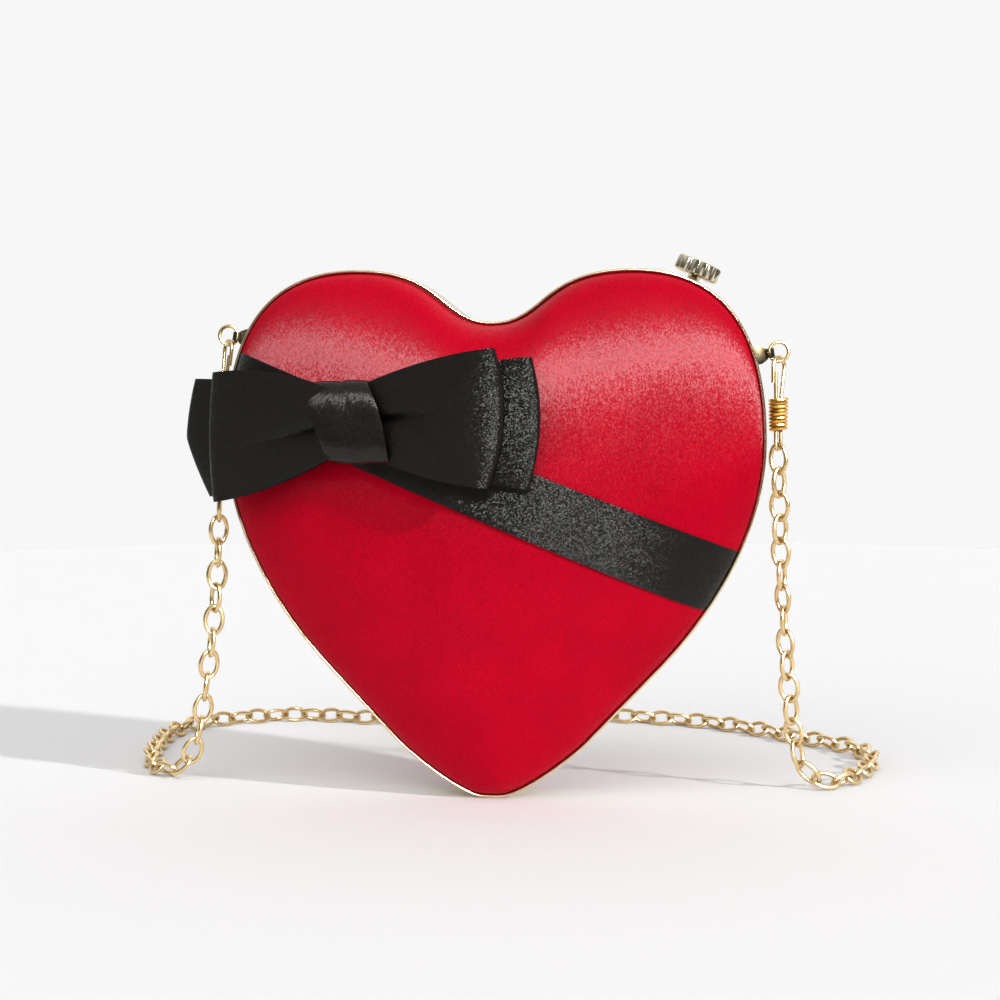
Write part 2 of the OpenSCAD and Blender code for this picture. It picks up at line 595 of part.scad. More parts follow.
// Links over which the chain twists from square to an eye to its own lie, and how far the hanging ones swing
twist_links = 6;
link_swing = 20;
swing_step = 137.5;
right_turn = eye_turn(0, 1);
left_turn = eye_turn(links - 1, -1);
function from_eyes(i) = min(i, links - 1 - i);
function swing_share(i) = sin(180 * min(1, from_eyes(i) / drop_links));
function link_turn(i) = 45 + 90 * (i % 2) + link_swing * sin(swing_step * i) * swing_share(i)
    + right_turn * max(0, 1 - i / twist_links) + left_turn * max(0, 1 - (links - 1 - i) / twist_links);
link_end_r = (link_w - link_wire) / 2;
link_straight = link_l - link_w;
// A link from two half rings and two straight sides
module link() {
    for (m = [0, 1]) mirror([m, 0, 0]) translate([link_straight / 2, 0, 0]) rotate(-90)
        rotate_extrude(angle = 180, $fn = 32) translate([link_end_r, 0]) circle(r = link_wire / 2, $fn = 24);
    for (s = [-1, 1]) translate([-link_straight / 2, s * link_end_r, 0]) rotate([0, 90, 0])
        cylinder(h = link_straight, r = link_wire / 2, $fn = 24);
}
module placed_link(i) {
    x = link_run(i);
    side = link_side(i);
    up = cross(x, side);
    y = side * cos(link_turn(i)) + up * sin(link_turn(i));
    z = cross(x, y);
    at = (holds[i] + holds[i + 1]) / 2;
    multmatrix([[x[0], y[0], z[0], at[0]], [x[1], y[1], z[1], at[1]], [x[2], y[2], z[2], at[2]]]) link();
}
module links_between(from, to) color(pale_gold) for (i = [from:to - 1]) placed_link(i);
right_drop_end = drop_links + 1;
right_floor_end = right_drop_end + 18;
left_drop_start = links - drop_links - 1;
left_floor_start = left_drop_start - 20;
module chain_right_drop() links_between(0, right_drop_end);
module chain_right_floor() links_between(right_drop_end, right_floor_end);
module chain_back_run() links_between(right_floor_end, left_floor_start);
module chain_left_floor() links_between(left_floor_start, left_drop_start);
module chain_left_drop() links_between(left_drop_start, links);

// Soft pieces on the lid: points over the dome, by a place in front view and a height above it
function edge_angle(d) = (atan2(d[0], -d[1]) + 360) % 360;
edge_by_angle = let (edge = outline(fine_steps, cover_inset), n = len(edge))
    [for (i = [-1:n]) let (d = edge[(i + n) % n] - dome_centre)
        [edge_angle(d) + (i < 0 ? -360 : i >= n ? 360 : 0), norm(d)]];
// The share of the way out at which a ring passes a distance r, found by halving
function ring_share(r, r_edge, low, high, steps) = let (mid = (low + high) / 2) steps == 0 ? mid
    : ring_r(r_edge, mid) > r ? ring_share(r, r_edge, low, mid, steps - 1)
    : ring_share(r, r_edge, mid, high, steps - 1);
function over_dome(x, z, lift) = let (d = [x, z] - dome_centre, r = max(norm(d), overrun / 100),
    r_edge = lookup(edge_angle(d), edge_by_angle), u = ring_share(r, r_edge, 0, 1, 14),
    q = dome_centre + d / r * ring_r(r_edge + lift, u))
    [q[0], -skirt_top - (dome_rise + lift) * rise_share(u), q[1]];

// Corners of the ribbon band in front view, as shares of the half width and of the height
band_corner_shares = [[-1, 0.849], [-1.05, 0.755], [0.95, 0.463], [0.84, 0.35]];
band_corners = [for (c = band_corner_shares) [c[0] * half_w, c[1] * heart_h]];
band_steps = 22;
band_across = 5;
band_tuck = skirt_h * 0.6;
band_lift = soft_gap * 1.4;
// The band thins out and comes down onto the cover where it enters the groove
edge_lift = soft_gap * 0.7;
edge_t = groove_w * 0.4;
function near_edge(f) = min(1, 20 * min(f, 1 - f));
function lift_at(f) = edge_lift + (band_lift - edge_lift) * near_edge(f);
function thick_at(f) = edge_t + (band_t - edge_t) * near_edge(f);
function band_pt(f, g, lift) = let (top = band_corners[0] * (1 - f) + band_corners[2] * f,
    low = band_corners[1] * (1 - f) + band_corners[3] * f, p = top * (1 - g) + low * g)
    over_dome(p[0], p[1], lift);
function band_row(f, lift, tuck) = [for (k = [0:band_across])
    band_pt(f, k / band_across, lift) + [0, tuck, 0]];
function band_section(f, tuck) = let (low = band_row(f, lift_at(f), tuck),
    high = band_row(f, lift_at(f) + thick_at(f), tuck))
    concat(low, [for (k = [band_across:-1:0]) high[k]]);
// A band that follows the dome and is tucked into the frame's groove at both ends
module ribbon_band() color(ribbon_black) skin(concat([band_section(1, band_tuck)],
    [for (i = [0:band_steps]) band_section((1 + cos(180 * i / band_steps)) / 2, 0)],
    [band_section(0, band_tuck)]));

// The bow: its middle line leans with the dome, and its loops bend back from the knot's edges
knot_at = [-0.5 * half_w, 0.715 * heart_h];
bow_turn = 11;
bow_lean = 4;
waist_t = 3;
rear_loop_t = 4;
front_loop_t = 6.5;
knot_t = 1.2;
knot_play = soft_gap * 1.5;
dome_y = -over_dome(knot_at[0], knot_at[1], 0)[1];
rear_waist_y = dome_y + band_lift + band_t + soft_gap * 2.5 + knot_t + knot_play + waist_t / 2;
front_waist_y = rear_waist_y + waist_t + soft_gap;
// Distances of the folds from the knot along X, and how far back of the leaning line each one bends
rear_ends = [-0.61 * half_w, 0.68 * half_w];
front_ends = [-0.52 * half_w, 0.59 * half_w];
rear_bends = [0.1 * half_w, 0.09 * half_w];
front_bends = [0.045 * half_w, 0.038 * half_w];
section_steps = 16;
function loop_section(x, y, z, height, thick) = [for (k = [0:section_steps - 1])
    let (a = 360 * k / section_steps, c = cos(a), s = sin(a))
    [x, y + thick / 2 * sign(c) * pow(abs(c), 0.7), z + height / 2 * sign(s) * pow(abs(s), 0.6)]];
// Sections grow from the knot's edge to full height by the middle of a loop, and close at the fold
loop_place_shares = [1, 0.965, 0.76, 0.42, 0.19, 0];
loop_height_shares = [0.94, 1, 1, 0.8, 0.38, 0.06];
loop_thick_shares = [0.3, 0.7, 1, 0.5, 0.15, 0];
function loop_half(end, bend, waist_y, thick, full_h) = [for (k = [0:len(loop_place_shares) - 1])
    let (g = loop_place_shares[k], dx = sign(end) * (knot_w / 2 + (abs(end) - knot_w / 2) * g),
        h = bow_waist_h + (full_h - bow_waist_h) * loop_height_shares[k],
        t = waist_t + (thick - waist_t) * loop_thick_shares[k])
    loop_section(knot_at[0] + dx, -waist_y - dx * tan(bow_turn) + bend * g,
        knot_at[1] - tan(bow_lean) * dx * g, h, t)];
function reversed(list) = [for (i = [len(list) - 1:-1:0]) list[i]];
module bow_layer(ends, bends, waist_y, thick, full_h) {
    skin(concat(loop_half(ends[0], bends[0], waist_y, thick, full_h),
        reversed(loop_half(ends[1], bends[1], waist_y, thick, full_h))));
}
module bow_rear_loops() color(ribbon_black)
    bow_layer(rear_ends, rear_bends, rear_waist_y, rear_loop_t, bow_h * 0.98);
module bow_front_loops() color(ribbon_black)
    bow_layer(front_ends, front_bends, front_waist_y, front_loop_t, bow_h);
// The knot is a strip wound round the waist of both layers
knot_low_y = rear_waist_y - waist_t / 2 - knot_play;
knot_high_y = front_waist_y + waist_t / 2 + knot_play;
corner_steps = 3;
module knot_outline(grow) {
    r = knot_t + grow / 2;
    half_y = (knot_high_y - knot_low_y) / 2 + grow;
    half_z = knot_h / 2 - knot_t + grow;
    points = [for (c = [[1, 1, 0], [-1, 1, 90], [-1, -1, 180], [1, -1, 270]])
        for (k = [0:corner_steps]) let (a = c[2] + 90 * k / corner_steps)
        [c[0] * (half_y - r) + r * cos(a), c[1] * (half_z - r) + r * sin(a)]];
    polygon(points);
}
module bow_knot() color(ribbon_black)
    translate([knot_at[0], -(knot_low_y + knot_high_y) / 2, knot_at[1]]) rotate(-bow_turn)
        translate([-knot_w / 2, 0, 0]) rotate([90, 0, 90]) linear_extrude(knot_w) difference() {
            knot_outline(knot_t);
            knot_outline(0);
        }

rear_frame();
rear_shell();
rear_cover();
rear_lining();
rear_hinge_leaf();
hinge_pin();
clasp_housing();
clasp_collar();
clasp_spring();
left_lug();
right_lug();
left_hook();
right_hook();
left_hook_spring();
right_hook_spring();
chain_right_drop();
chain_right_floor();
chain_back_run();
chain_left_floor();
chain_left_drop();
front_frame();
front_shell();
front_cover();
front_lining();
front_hinge_leaf();
striker();
ribbon_band();
bow_rear_loops();
bow_front_loops();
bow_knot();
clasp_knob();
clasp_latch();
left_ring();
right_ring();
left_gate();
right_gate();
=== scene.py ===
"""Heart shaped evening purse: the visible model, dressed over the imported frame.

Lengths are millimetres in the classes below and become metres when a piece is placed.
X runs to the right, Y to the back and Z up, as in the part's source.
"""

import bisect
import json
import logging
import math
from collections.abc import Callable, Iterable, Sequence
from dataclasses import dataclass, field, replace
from enum import Enum
from functools import cache, cached_property, partial
from itertools import accumulate

import bmesh
import bpy
from mathutils import Matrix, Vector, noise


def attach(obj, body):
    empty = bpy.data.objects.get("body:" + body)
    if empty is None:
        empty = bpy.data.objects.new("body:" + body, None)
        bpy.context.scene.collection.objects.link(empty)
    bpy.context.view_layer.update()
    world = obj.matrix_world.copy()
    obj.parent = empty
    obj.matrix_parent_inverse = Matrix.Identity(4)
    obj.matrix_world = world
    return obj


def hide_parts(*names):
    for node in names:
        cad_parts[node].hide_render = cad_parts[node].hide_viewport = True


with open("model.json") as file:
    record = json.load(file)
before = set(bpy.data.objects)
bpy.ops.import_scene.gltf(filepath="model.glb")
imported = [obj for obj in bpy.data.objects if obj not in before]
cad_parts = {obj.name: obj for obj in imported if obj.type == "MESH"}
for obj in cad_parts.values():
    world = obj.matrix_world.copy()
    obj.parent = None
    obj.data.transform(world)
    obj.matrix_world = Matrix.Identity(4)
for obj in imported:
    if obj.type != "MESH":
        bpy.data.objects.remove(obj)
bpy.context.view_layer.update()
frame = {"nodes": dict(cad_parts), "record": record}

LOG = logging.getLogger("purse")
MM = 0.001
CLOTH_SMOOTH = 60.0
Mesh = bmesh.types.BMesh
Socket = bpy.types.NodeSocket
Point2 = tuple[float, float]
Point3 = tuple[float, float, float]


class Body(Enum):
    """Rigid bodies that pieces ride on."""

    PURSE = "purse"
    LID = "lid"
    CLASP = "clasp"
    LEFT_RING = "left_strap_ring"
    RIGHT_RING = "right_strap_ring"
    LEFT_GATE = "left_hook_gate"
    RIGHT_GATE = "right_hook_gate"


class Side(Enum):
    """Left and right as seen from the bow's side, by the sign of their X."""

    LEFT = -1
    RIGHT = 1


class Half(Enum):
    """The two halves of the purse, by the sign of their Y."""

    FRONT = -1
    REAR = 1

    @property
    def body(self) -> Body:
        """The body that this half is part of."""
        return Body.LID if self is Half.FRONT else Body.PURSE


# Colours and nodes


def to_linear(hex_colour: str) -> tuple[float, float, float, float]:
    """Turn an sRGB hex colour into a linear colour with full opacity.

    Args:
        hex_colour: Six hex digits after a hash sign.

    Returns:
        Red, green, blue and alpha, linear.
    """
    parts = [int(hex_colour[i : i + 2], 16) / 255 for i in (1, 3, 5)]
    line = [c / 12.92 if c <= 0.04045 else ((c + 0.055) / 1.055) ** 2.4 for c in parts]
    return (line[0], line[1], line[2], 1.0)


def feed(node: bpy.types.Node, inputs: dict) -> None:
    """Give a node's sockets their constants or the outputs that feed them.

    Args:
        node: Node of a material or world.
        inputs: Socket name or number to a constant or to another node's output.
    """
    for key, value in inputs.items():
        if isinstance(value, Socket):
            node.id_data.links.new(value, node.inputs[key])
        else:
            node.inputs[key].default_value = value


def add_node(
    tree: bpy.types.NodeTree, kind: str, inputs: dict, output: int | str = 0, **settings: object
) -> Socket:
    """Add a node.

    Args:
        tree: Node tree of a material or world.
        kind: Blender's name of the node type.
        inputs: Socket name or number to a constant or to another node's output.
        output: Name or number of the output wanted.
        **settings: Properties of the node itself.

    Returns:
        That output.
    """
    node = tree.nodes.new(kind)
    for key, value in settings.items():
        setattr(node, key, value)
    feed(node, inputs)
    return node.outputs[output]


class Surface:
    """A material in the making, whose patterns lie in the object's own coordinates."""

    def __init__(self, name: str) -> None:
        """Start a material that holds only its Principled node.

        Args:
            name: Name of the material.
        """
        self.material = bpy.data.materials.new(name)
        self.material.use_nodes = True
        self.add = partial(add_node, self.material.node_tree)

    @cached_property
    def place(self) -> Socket:
        """The object's own coordinates."""
        return self.add("ShaderNodeTexCoord", {}, "Object")

    def clouds(self, size: float, detail: float) -> Socket:
        """Add a cloudy value, by the size of a cloud in millimetres and its number of finer layers."""
        inputs = {"Scale": 1 / (size * MM), "Detail": detail, "Vector": self.place}
        return self.add("ShaderNodeTexNoise", inputs)

    def ramp(self, source: Socket, *stops: tuple[float, str]) -> Socket:
        """Colour a value with a ramp.

        Args:
            source: Value that drives the ramp.
            *stops: Two positions with their hex colours.

        Returns:
            The ramp's colour.
        """
        colour = self.add("ShaderNodeValToRGB", {"Fac": source})
        for element, (place, tone) in zip(colour.node.color_ramp.elements, stops):
            element.position, element.color = place, to_linear(tone)
        return colour

    def bump(self, height: Socket, strength: float, depth: float) -> Socket:
        """Turn a height into a normal, by the share of it that shows and its depth in millimetres."""
        return self.add("ShaderNodeBump", {"Strength": strength, "Distance": depth * MM, "Height": height})

    def finish(self, inputs: dict) -> bpy.types.Material:
        """Give the Principled node its inputs and hand over the material."""
        feed(self.material.node_tree.nodes["Principled BSDF"], inputs)
        return self.material


@dataclass(frozen=True)
class SatinWeave:
    """Duchess satin: smooth warp floats, each lying at its own slight tilt.

    To the eye the floats draw the highlight out across the threads and break it up into fine sparkle.
    They are about 0.2 mm wide, too fine to show, so each cell stands for a small bundle of them.
    """

    name: str
    slot: str
    thread: str
    shade: str
    glint: str
    roughness: float
    gloss: float
    tilt: Point3
    float_size: Point3
    across: Point3
    cloud: str = "#f0f0f0"
    cloud_size: float = 18.0

    def build(self) -> bpy.types.Material:
        """Make the material.

        Returns:
            The material, with its nodes.
        """
        cloth = Surface(self.name)
        per_float = tuple(1 / (size * MM) for size in self.float_size)
        cells = cloth.add("ShaderNodeMapping", {"Scale": per_float, "Vector": cloth.place})
        floats = cloth.add("ShaderNodeTexVoronoi", {"Scale": 1.0, "Vector": cells}, "Color")
        colour = cloth.ramp(floats, (0.2, self.shade), (0.8, self.thread))
        tone = cloth.ramp(cloth.clouds(self.cloud_size, 2.0), (0.3, self.cloud), (0.7, "#ffffff"))
        both = {"Factor": 1.0, "A": colour, "B": tone}
        mixed = cloth.add("ShaderNodeMix", both, "Result", data_type="RGBA", blend_type="MULTIPLY")
        lean = {0: floats, 1: self.tilt, 2: tuple(-t / 2 for t in self.tilt)}
        tilted = cloth.add("ShaderNodeVectorMath", lean, operation="MULTIPLY_ADD")
        facing = cloth.add("ShaderNodeNewGeometry", {}, "Normal")
        total = cloth.add("ShaderNodeVectorMath", {0: facing, 1: tilted})
        return cloth.finish({
            "Base Color": mixed, "Roughness": self.roughness, "Specular IOR Level": self.gloss,
            "Specular Tint": to_linear(self.glint), "Anisotropic": 1.0,
            "Normal": cloth.add("ShaderNodeVectorMath", {0: total}, operation="NORMALIZE"),
            "Tangent": cloth.add("ShaderNodeCombineXYZ", dict(zip("XYZ", self.across))),
        })


@dataclass(frozen=True)
class GoldPlate:
    """Thin gold plate on brass: mirror bright, with faint polishing clouds that shift its roughness and its
    tone towards a warmer gold.
    """

    name: str
    slot: str
    colour: str
    warm: str
    roughness: float
    spread: float = 0.15
    cloud_size: float = 3.0
    scratch_size: float = 0.5
    scratch_depth: float = 0.01

    def build(self) -> bpy.types.Material:
        """Make the material.

        Returns:
            The material, with its nodes.
        """
        metal = Surface(self.name)
        clouds = metal.clouds(self.cloud_size, 3.0)
        low, high = self.roughness * (1 - self.spread), self.roughness * (1 + self.spread)
        span = {"Value": clouds, "From Min": 0.3, "From Max": 0.7, "To Min": low, "To Max": high}
        scratches = metal.clouds(self.scratch_size, 2.0)
        return metal.finish({
            "Base Color": metal.ramp(clouds, (0.2, self.warm), (0.7, self.colour)), "Metallic": 1.0,
            "Roughness": metal.add("ShaderNodeMapRange", span),
            "Normal": metal.bump(scratches, 0.25, self.scratch_depth),
        })


@dataclass(frozen=True)
class Moulding:
    """Injection moulded shell: a dull, faintly grained plastic."""

    name: str
    slot: str
    colour: str
    shade: str
    roughness: float = 0.6
    grain_size: float = 0.8
    grain_depth: float = 0.04

    def build(self) -> bpy.types.Material:
        """Make the material.

        Returns:
            The material, with its nodes.
        """
        shell = Surface(self.name)
        grain = shell.clouds(self.grain_size, 3.0)
        return shell.finish({
            "Base Color": shell.ramp(grain, (0.3, self.shade), (0.7, self.colour)),
            "Roughness": self.roughness, "Normal": shell.bump(grain, 0.3, self.grain_depth),
        })


Finish = SatinWeave | GoldPlate | Moulding

RED_SATIN = SatinWeave(
    "polyester_satin_red", "red_satin", thread="#bf0021", shade="#b1001d", glint="#ffe6ea", roughness=0.55,
    gloss=0.1, tilt=(0.36, 0.14, 0.14), float_size=(0.34, 0.34, 0.46), across=(1, 0, 0),
)
BLACK_RIBBON = SatinWeave(
    "satin_ribbon_black", "black_ribbon", thread="#191714", shade="#0e0d0b", glint="#fffdf8", roughness=0.42,
    gloss=0.33, tilt=(0.32, 0.28, 0.28), float_size=(0.36, 0.36, 0.32), across=(-0.1, 0, 1),
)
# The knot's ribbon has upright threads. It also has a lighter thread and shade than the loops, which paint
# the light that falls on the knot.
BLACK_KNOT_PAINTED_LIGHT = replace(
    BLACK_RIBBON, name="satin_ribbon_black_upright_painted_light", thread="#25221e", shade="#191714",
    tilt=(0.26, 0.12, 0.12), float_size=(0.36, 0.36, 0.48), across=(1, 0, 0),
)
LINING = SatinWeave(
    "taffeta_lining_black", "lining_cloth", thread="#141111", shade="#0d0b0b", glint="#ffffff", roughness=0.6,
    gloss=0.3, tilt=(0.2, 0.2, 0.1), float_size=(0.4, 0.4, 0.4), across=(1, 0, 0),
)
PALE_GOLD = GoldPlate("gold_plate_pale", "gold_frame", "#f4e2c2", "#ead3a6", 0.2)
# The lugs' gold is darker than the frame's gold: painted shade and dark reflections on the lugs.
LUG_GOLD_PAINTED_SHADE = GoldPlate("gold_plate_dull_painted_shade", "gold_frame", "#70664f", "#544b38", 0.34)
KNOB_GOLD = GoldPlate("gold_plate_knob", "gold_frame", "#f4ead4", "#dccfab", 0.2)
WIRE_GOLD = GoldPlate("gold_plate_wire", "gold_wire", "#f0d9a8", "#d9b67a", 0.24)
SPRING_GOLD = GoldPlate("gold_lacquer_spring", "spring_wire", "#f2bd62", "#de9c3c", 0.28)
SHELL_PLASTIC = Moulding("abs_moulding_grey", "shell_moulding", "#bbb6ac", "#a29c92")


@cache
def material_of(finish: Finish) -> bpy.types.Material:
    """Return the finish's material, made once."""
    return finish.build()


# Numbers, lines and meshes


def between(ends: Point2, share: float) -> float:
    """Give the value that lies a share of the way from the first end to the second."""
    return ends[0] + (ends[1] - ends[0]) * share


def signed_power(value: float, power: float) -> float:
    """Raise a value's size to a power and keep its sign."""
    return math.copysign(abs(value) ** power, value)


def halve(holds: Callable[[float], bool], rounds: int = 22) -> Point2:
    """Find the share of the way up to which a test holds.

    Args:
        holds: Test of a share from 0 to 1, which holds up to one place and fails past it.
        rounds: Number of halvings.

    Returns:
        The last share found to hold and the first found to fail.
    """
    low, high = 0.0, 1.0
    for _ in range(rounds):
        mid = (low + high) / 2
        low, high = (mid, high) if holds(mid) else (low, mid)
    return low, high


def length_of(line: Sequence[Vector]) -> float:
    """Give a line's length."""
    return sum((b - a).length for a, b in zip(line, line[1:]))


def even_steps(line: Sequence[Vector], count: int) -> list[tuple[int, float]]:
    """Share out a line's length evenly.

    Args:
        line: Points along the line.
        count: Number of steps.

    Returns:
        For each end of a step, the number of the point before it and the share of the way to the next.
    """
    lengths = [0.0, *accumulate((b - a).length for a, b in zip(line, line[1:]))]
    steps = []
    for i in range(count + 1):
        want = lengths[-1] * i / count
        k = min(max(bisect.bisect_left(lengths, want), 1), len(line) - 1)
        steps.append((k - 1, (want - lengths[k - 1]) / (lengths[k] - lengths[k - 1])))
    return steps


def arc(centre: Point2, radius: float, degrees: Iterable[float]) -> list[Point2]:
    """Give points of a flat arc, in directions from the first axis round to the second."""
    turns = [math.radians(d) for d in degrees]
    return [(centre[0] + radius * math.cos(a), centre[1] + radius * math.sin(a)) for a in turns]


def smooth_line(points: Sequence[Vector], steps: int) -> list[Vector]:
    """Run a Catmull-Rom line through points.

    Args:
        points: Points to pass through.
        steps: Points made for each stretch.

    Returns:
        The dense line, with the last point.
    """
    line: list[Vector] = []
    last = len(points) - 1
    for i in range(last):
        a, b, c, d = points[max(i - 1, 0)], points[i], points[i + 1], points[min(i + 2, last)]
        for k in range(steps):
            t = k / steps
            bend = (a * 2 - b * 5 + c * 4 - d) * t * t + (b * 3 - a - c * 3 + d) * t**3
            line.append((b * 2 + (c - a) * t + bend) / 2)
    line.append(points[last].copy())
    return line


def coil_line(turn: Matrix, turns: int, steps: int, radii: Point2, heights: Point2) -> list[Vector]:
    """Run a coil round a frame's Z axis.

    Args:
        turn: Frame of the coil.
        turns: Number of its turns.
        steps: Points to a turn.
        radii: Its radius at the start and the end.
        heights: Its places along Z at the start and the end.

    Returns:
        The centreline.
    """
    line = []
    for k in range(turns * steps + 1):
        share, a = k / (turns * steps), 2 * math.pi * k / steps
        r = between(radii, share)
        line.append(turn @ Vector((r * math.cos(a), r * math.sin(a), between(heights, share))))
    return line


def lofted(rings: Sequence[Sequence[Vector]], closed_up: bool = False, cap_end: bool = False) -> Mesh:
    """Extrude a ring of points through the places of the next rings.

    Args:
        rings: Rings with the same number of points, in millimetres.
        closed_up: Whether the last ring joins the first one.
        cap_end: Whether the last ring is closed with a fan of faces.

    Returns:
        The mesh, its normals outwards.
    """
    bm = bmesh.new()
    start = bmesh.ops.create_circle(bm, cap_ends=False, segments=len(rings[0]), radius=1.0)["verts"]
    for vert, place in zip(start, rings[0]):
        vert.co = place
    edges = list(bm.edges)
    first_edges = edges
    order = {vert: i for i, vert in enumerate(start)}
    for ring in rings[1:]:
        old = {tuple(vert.co): i for vert, i in order.items()}
        made = bmesh.ops.extrude_edge_only(bm, edges=edges)["geom"]
        verts = [g for g in made if isinstance(g, bmesh.types.BMVert)]
        edges = [g for g in made if isinstance(g, bmesh.types.BMEdge)]
        order = {vert: old[tuple(vert.co)] for vert in verts}
        for vert, i in order.items():
            vert.co = ring[i]
    if closed_up:
        bmesh.ops.bridge_loops(bm, edges=first_edges + edges)
    if cap_end:
        cap = bmesh.ops.contextual_create(bm, geom=edges)["faces"]
        bmesh.ops.poke(bm, faces=cap)
    bmesh.ops.recalc_face_normals(bm, faces=bm.faces)
    return bm


def sheeted(along: int, across: int, place: Callable[[float, float], Vector]) -> Mesh:
    """Shape a grid into a sheet.

    Args:
        along: Number of faces in the first direction.
        across: Number of faces in the second direction.
        place: Gives a point for two shares from 0 to 1.

    Returns:
        The mesh, as an open sheet.
    """
    bm = bmesh.new()
    bmesh.ops.create_grid(bm, x_segments=along, y_segments=across, size=0.5)
    for vert in bm.verts:
        vert.co = place(vert.co.x + 0.5, vert.co.y + 0.5)
    return bm


def solid_sheet(bm: Mesh, thickness: float, facing: Vector | None = None) -> Mesh:
    """Give an open sheet a thickness on its inner side.

    Args:
        bm: Open sheet.
        thickness: Thickness in millimetres.
        facing: Direction that the sheet's outer side mostly faces.

    Returns:
        The same mesh, closed.
    """
    bm.normal_update()
    if facing is not None and sum(f.normal.dot(facing) * f.calc_area() for f in bm.faces) < 0:
        bmesh.ops.reverse_faces(bm, faces=bm.faces)
    bmesh.ops.solidify(bm, geom=list(bm.faces), thickness=thickness)
    bmesh.ops.recalc_face_normals(bm, faces=bm.faces)
    return bm


def wire_mesh(points: Sequence[Vector], radius: float, sides: int = 12, closed: bool = False) -> Mesh:
    """Sweep a round wire along points.

    Args:
        points: Centreline in millimetres.
        radius: Wire's radius in millimetres.
        sides: Number of faces round the wire.
        closed: Whether the wire's ends meet.

    Returns:
        The wire's mesh, closed.
    """
    curve = bpy.data.curves.new("wire", "CURVE")
    curve.dimensions = "3D"
    curve.bevel_depth = radius
    curve.bevel_resolution = max(0, sides // 2 - 2) // 2
    curve.use_fill_caps = not closed
    spline = curve.splines.new("POLY")
    spline.points.add(len(points) - 1)
    for spot, point in zip(spline.points, points):
        spot.co = (*point, 1.0)
    spline.use_cyclic_u = closed
    holder = bpy.data.objects.new("wire", curve)
    mesh = bpy.data.meshes.new_from_object(holder)
    bm = bmesh.new()
    bm.from_mesh(mesh)
    bmesh.ops.remove_doubles(bm, verts=bm.verts, dist=0.001)
    bmesh.ops.recalc_face_normals(bm, faces=bm.faces)
    bpy.data.objects.remove(holder)
    bpy.data.curves.remove(curve)
    bpy.data.meshes.remove(mesh)
    return bm


def stand(name: str, bm: Mesh) -> bpy.types.Object:
    """Stand a mesh in the scene.

    Args:
        name: Name of the object and its mesh.
        bm: The mesh, freed here.

    Returns:
        The object.
    """
    holder = bpy.data.objects.new(name, bpy.data.meshes.new(name))
    bm.to_mesh(holder.data)
    bm.free()
    bpy.context.scene.collection.objects.link(holder)
    return holder


def join_meshes(parts: Sequence[Mesh]) -> Mesh:
    """Put several meshes into one.

    Args:
        parts: Meshes to join, freed here.

    Returns:
        The joined mesh.
    """
    whole = bmesh.new()
    for part in parts:
        mesh = bpy.data.meshes.new("part")
        part.to_mesh(mesh)
        part.free()
        whole.from_mesh(mesh)
        bpy.data.meshes.remove(mesh)
    return whole


def cut_with(bm: Mesh, cutters: Sequence[Mesh]) -> Mesh:
    """Cut closed meshes out of a closed mesh.

    Args:
        bm: Mesh to cut, freed here.
        cutters: Meshes to take away, freed here.

    Returns:
        The cut mesh.
    """
    objects = [stand("cut", part) for part in (bm, *cutters)]
    for cutter in objects[1:]:
        modifier = objects[0].modifiers.new("cut", "BOOLEAN")
        modifier.operation, modifier.solver, modifier.object = "DIFFERENCE", "EXACT", cutter
    result = bmesh.new()
    whole = objects[0].evaluated_get(bpy.context.evaluated_depsgraph_get())
    mesh = bpy.data.meshes.new_from_object(whole)
    result.from_mesh(mesh)
    bpy.data.meshes.remove(mesh)
    for holder in objects:
        bpy.data.objects.remove(holder)
    return result


def rod(radius: float, low: float, high: float, turn: Matrix, sides: int = 48) -> Mesh:
    """Make a cylinder along a frame's Z axis.

    Args:
        radius: Radius in millimetres.
        low: Lower end along Z.
        high: Upper end along Z.
        turn: Frame that the cylinder stands in.
        sides: Number of side faces.

    Returns:
        The cylinder's mesh.
    """
    bm = bmesh.new()
    bmesh.ops.create_cone(
        bm, cap_ends=True, segments=sides, radius1=radius, radius2=radius, depth=high - low,
        matrix=turn @ Matrix.Translation((0, 0, (low + high) / 2)),
    )
    return bm


@dataclass
class Piece:
    """A finished piece: where it rides, its finish, and the nodes that it stands for."""

    name: str
    body: Body
    finish: Finish
    replaces: tuple[str, ...]
    smooth_deg: float = 40.0

    def place(self, bm: Mesh) -> bpy.types.Object:
        """Turn a mesh in millimetres into the piece's object in metres.

        Args:
            bm: Mesh in millimetres, freed here.

        Returns:
            The piece.
        """
        bmesh.ops.scale(bm, vec=(MM, MM, MM), verts=bm.verts)
        piece = stand(self.name, bm)
        faces = piece.data.polygons
        faces.foreach_set("use_smooth", [True] * len(faces))
        piece.data.set_sharp_from_angle(angle=math.radians(self.smooth_deg))
        piece.data.materials.append(material_of(self.finish))
        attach(piece, self.body.value)
        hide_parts(*self.replaces)
        LOG.info("%s: %d faces", self.name, len(faces))
        return piece

    def ease(self, width: float = 0.08) -> bpy.types.Object:
        """Stand a copy of the replaced node, with eased edges, in its place.

        Args:
            width: Width of the eased edge in millimetres.

        Returns:
            The piece.
        """
        bm = bmesh.new()
        bm.from_mesh(frame["nodes"][self.replaces[0]].data)
        bmesh.ops.scale(bm, vec=(1 / MM, 1 / MM, 1 / MM), verts=bm.verts)
        bmesh.ops.remove_doubles(bm, verts=bm.verts, dist=0.002)
        bmesh.ops.dissolve_limit(bm, angle_limit=math.radians(1.0), verts=bm.verts, edges=bm.edges)
        sharp = math.radians(35)
        edges = [e for e in bm.edges if len(e.link_faces) == 2 and e.calc_face_angle(0.0) > sharp]
        bmesh.ops.bevel(
            bm, geom=edges, offset=width, offset_type="OFFSET", segments=2, profile=0.5, affect="EDGES",
            material=-1, clamp_overlap=True,
        )
        return self.place(bm)


# The heart's shape


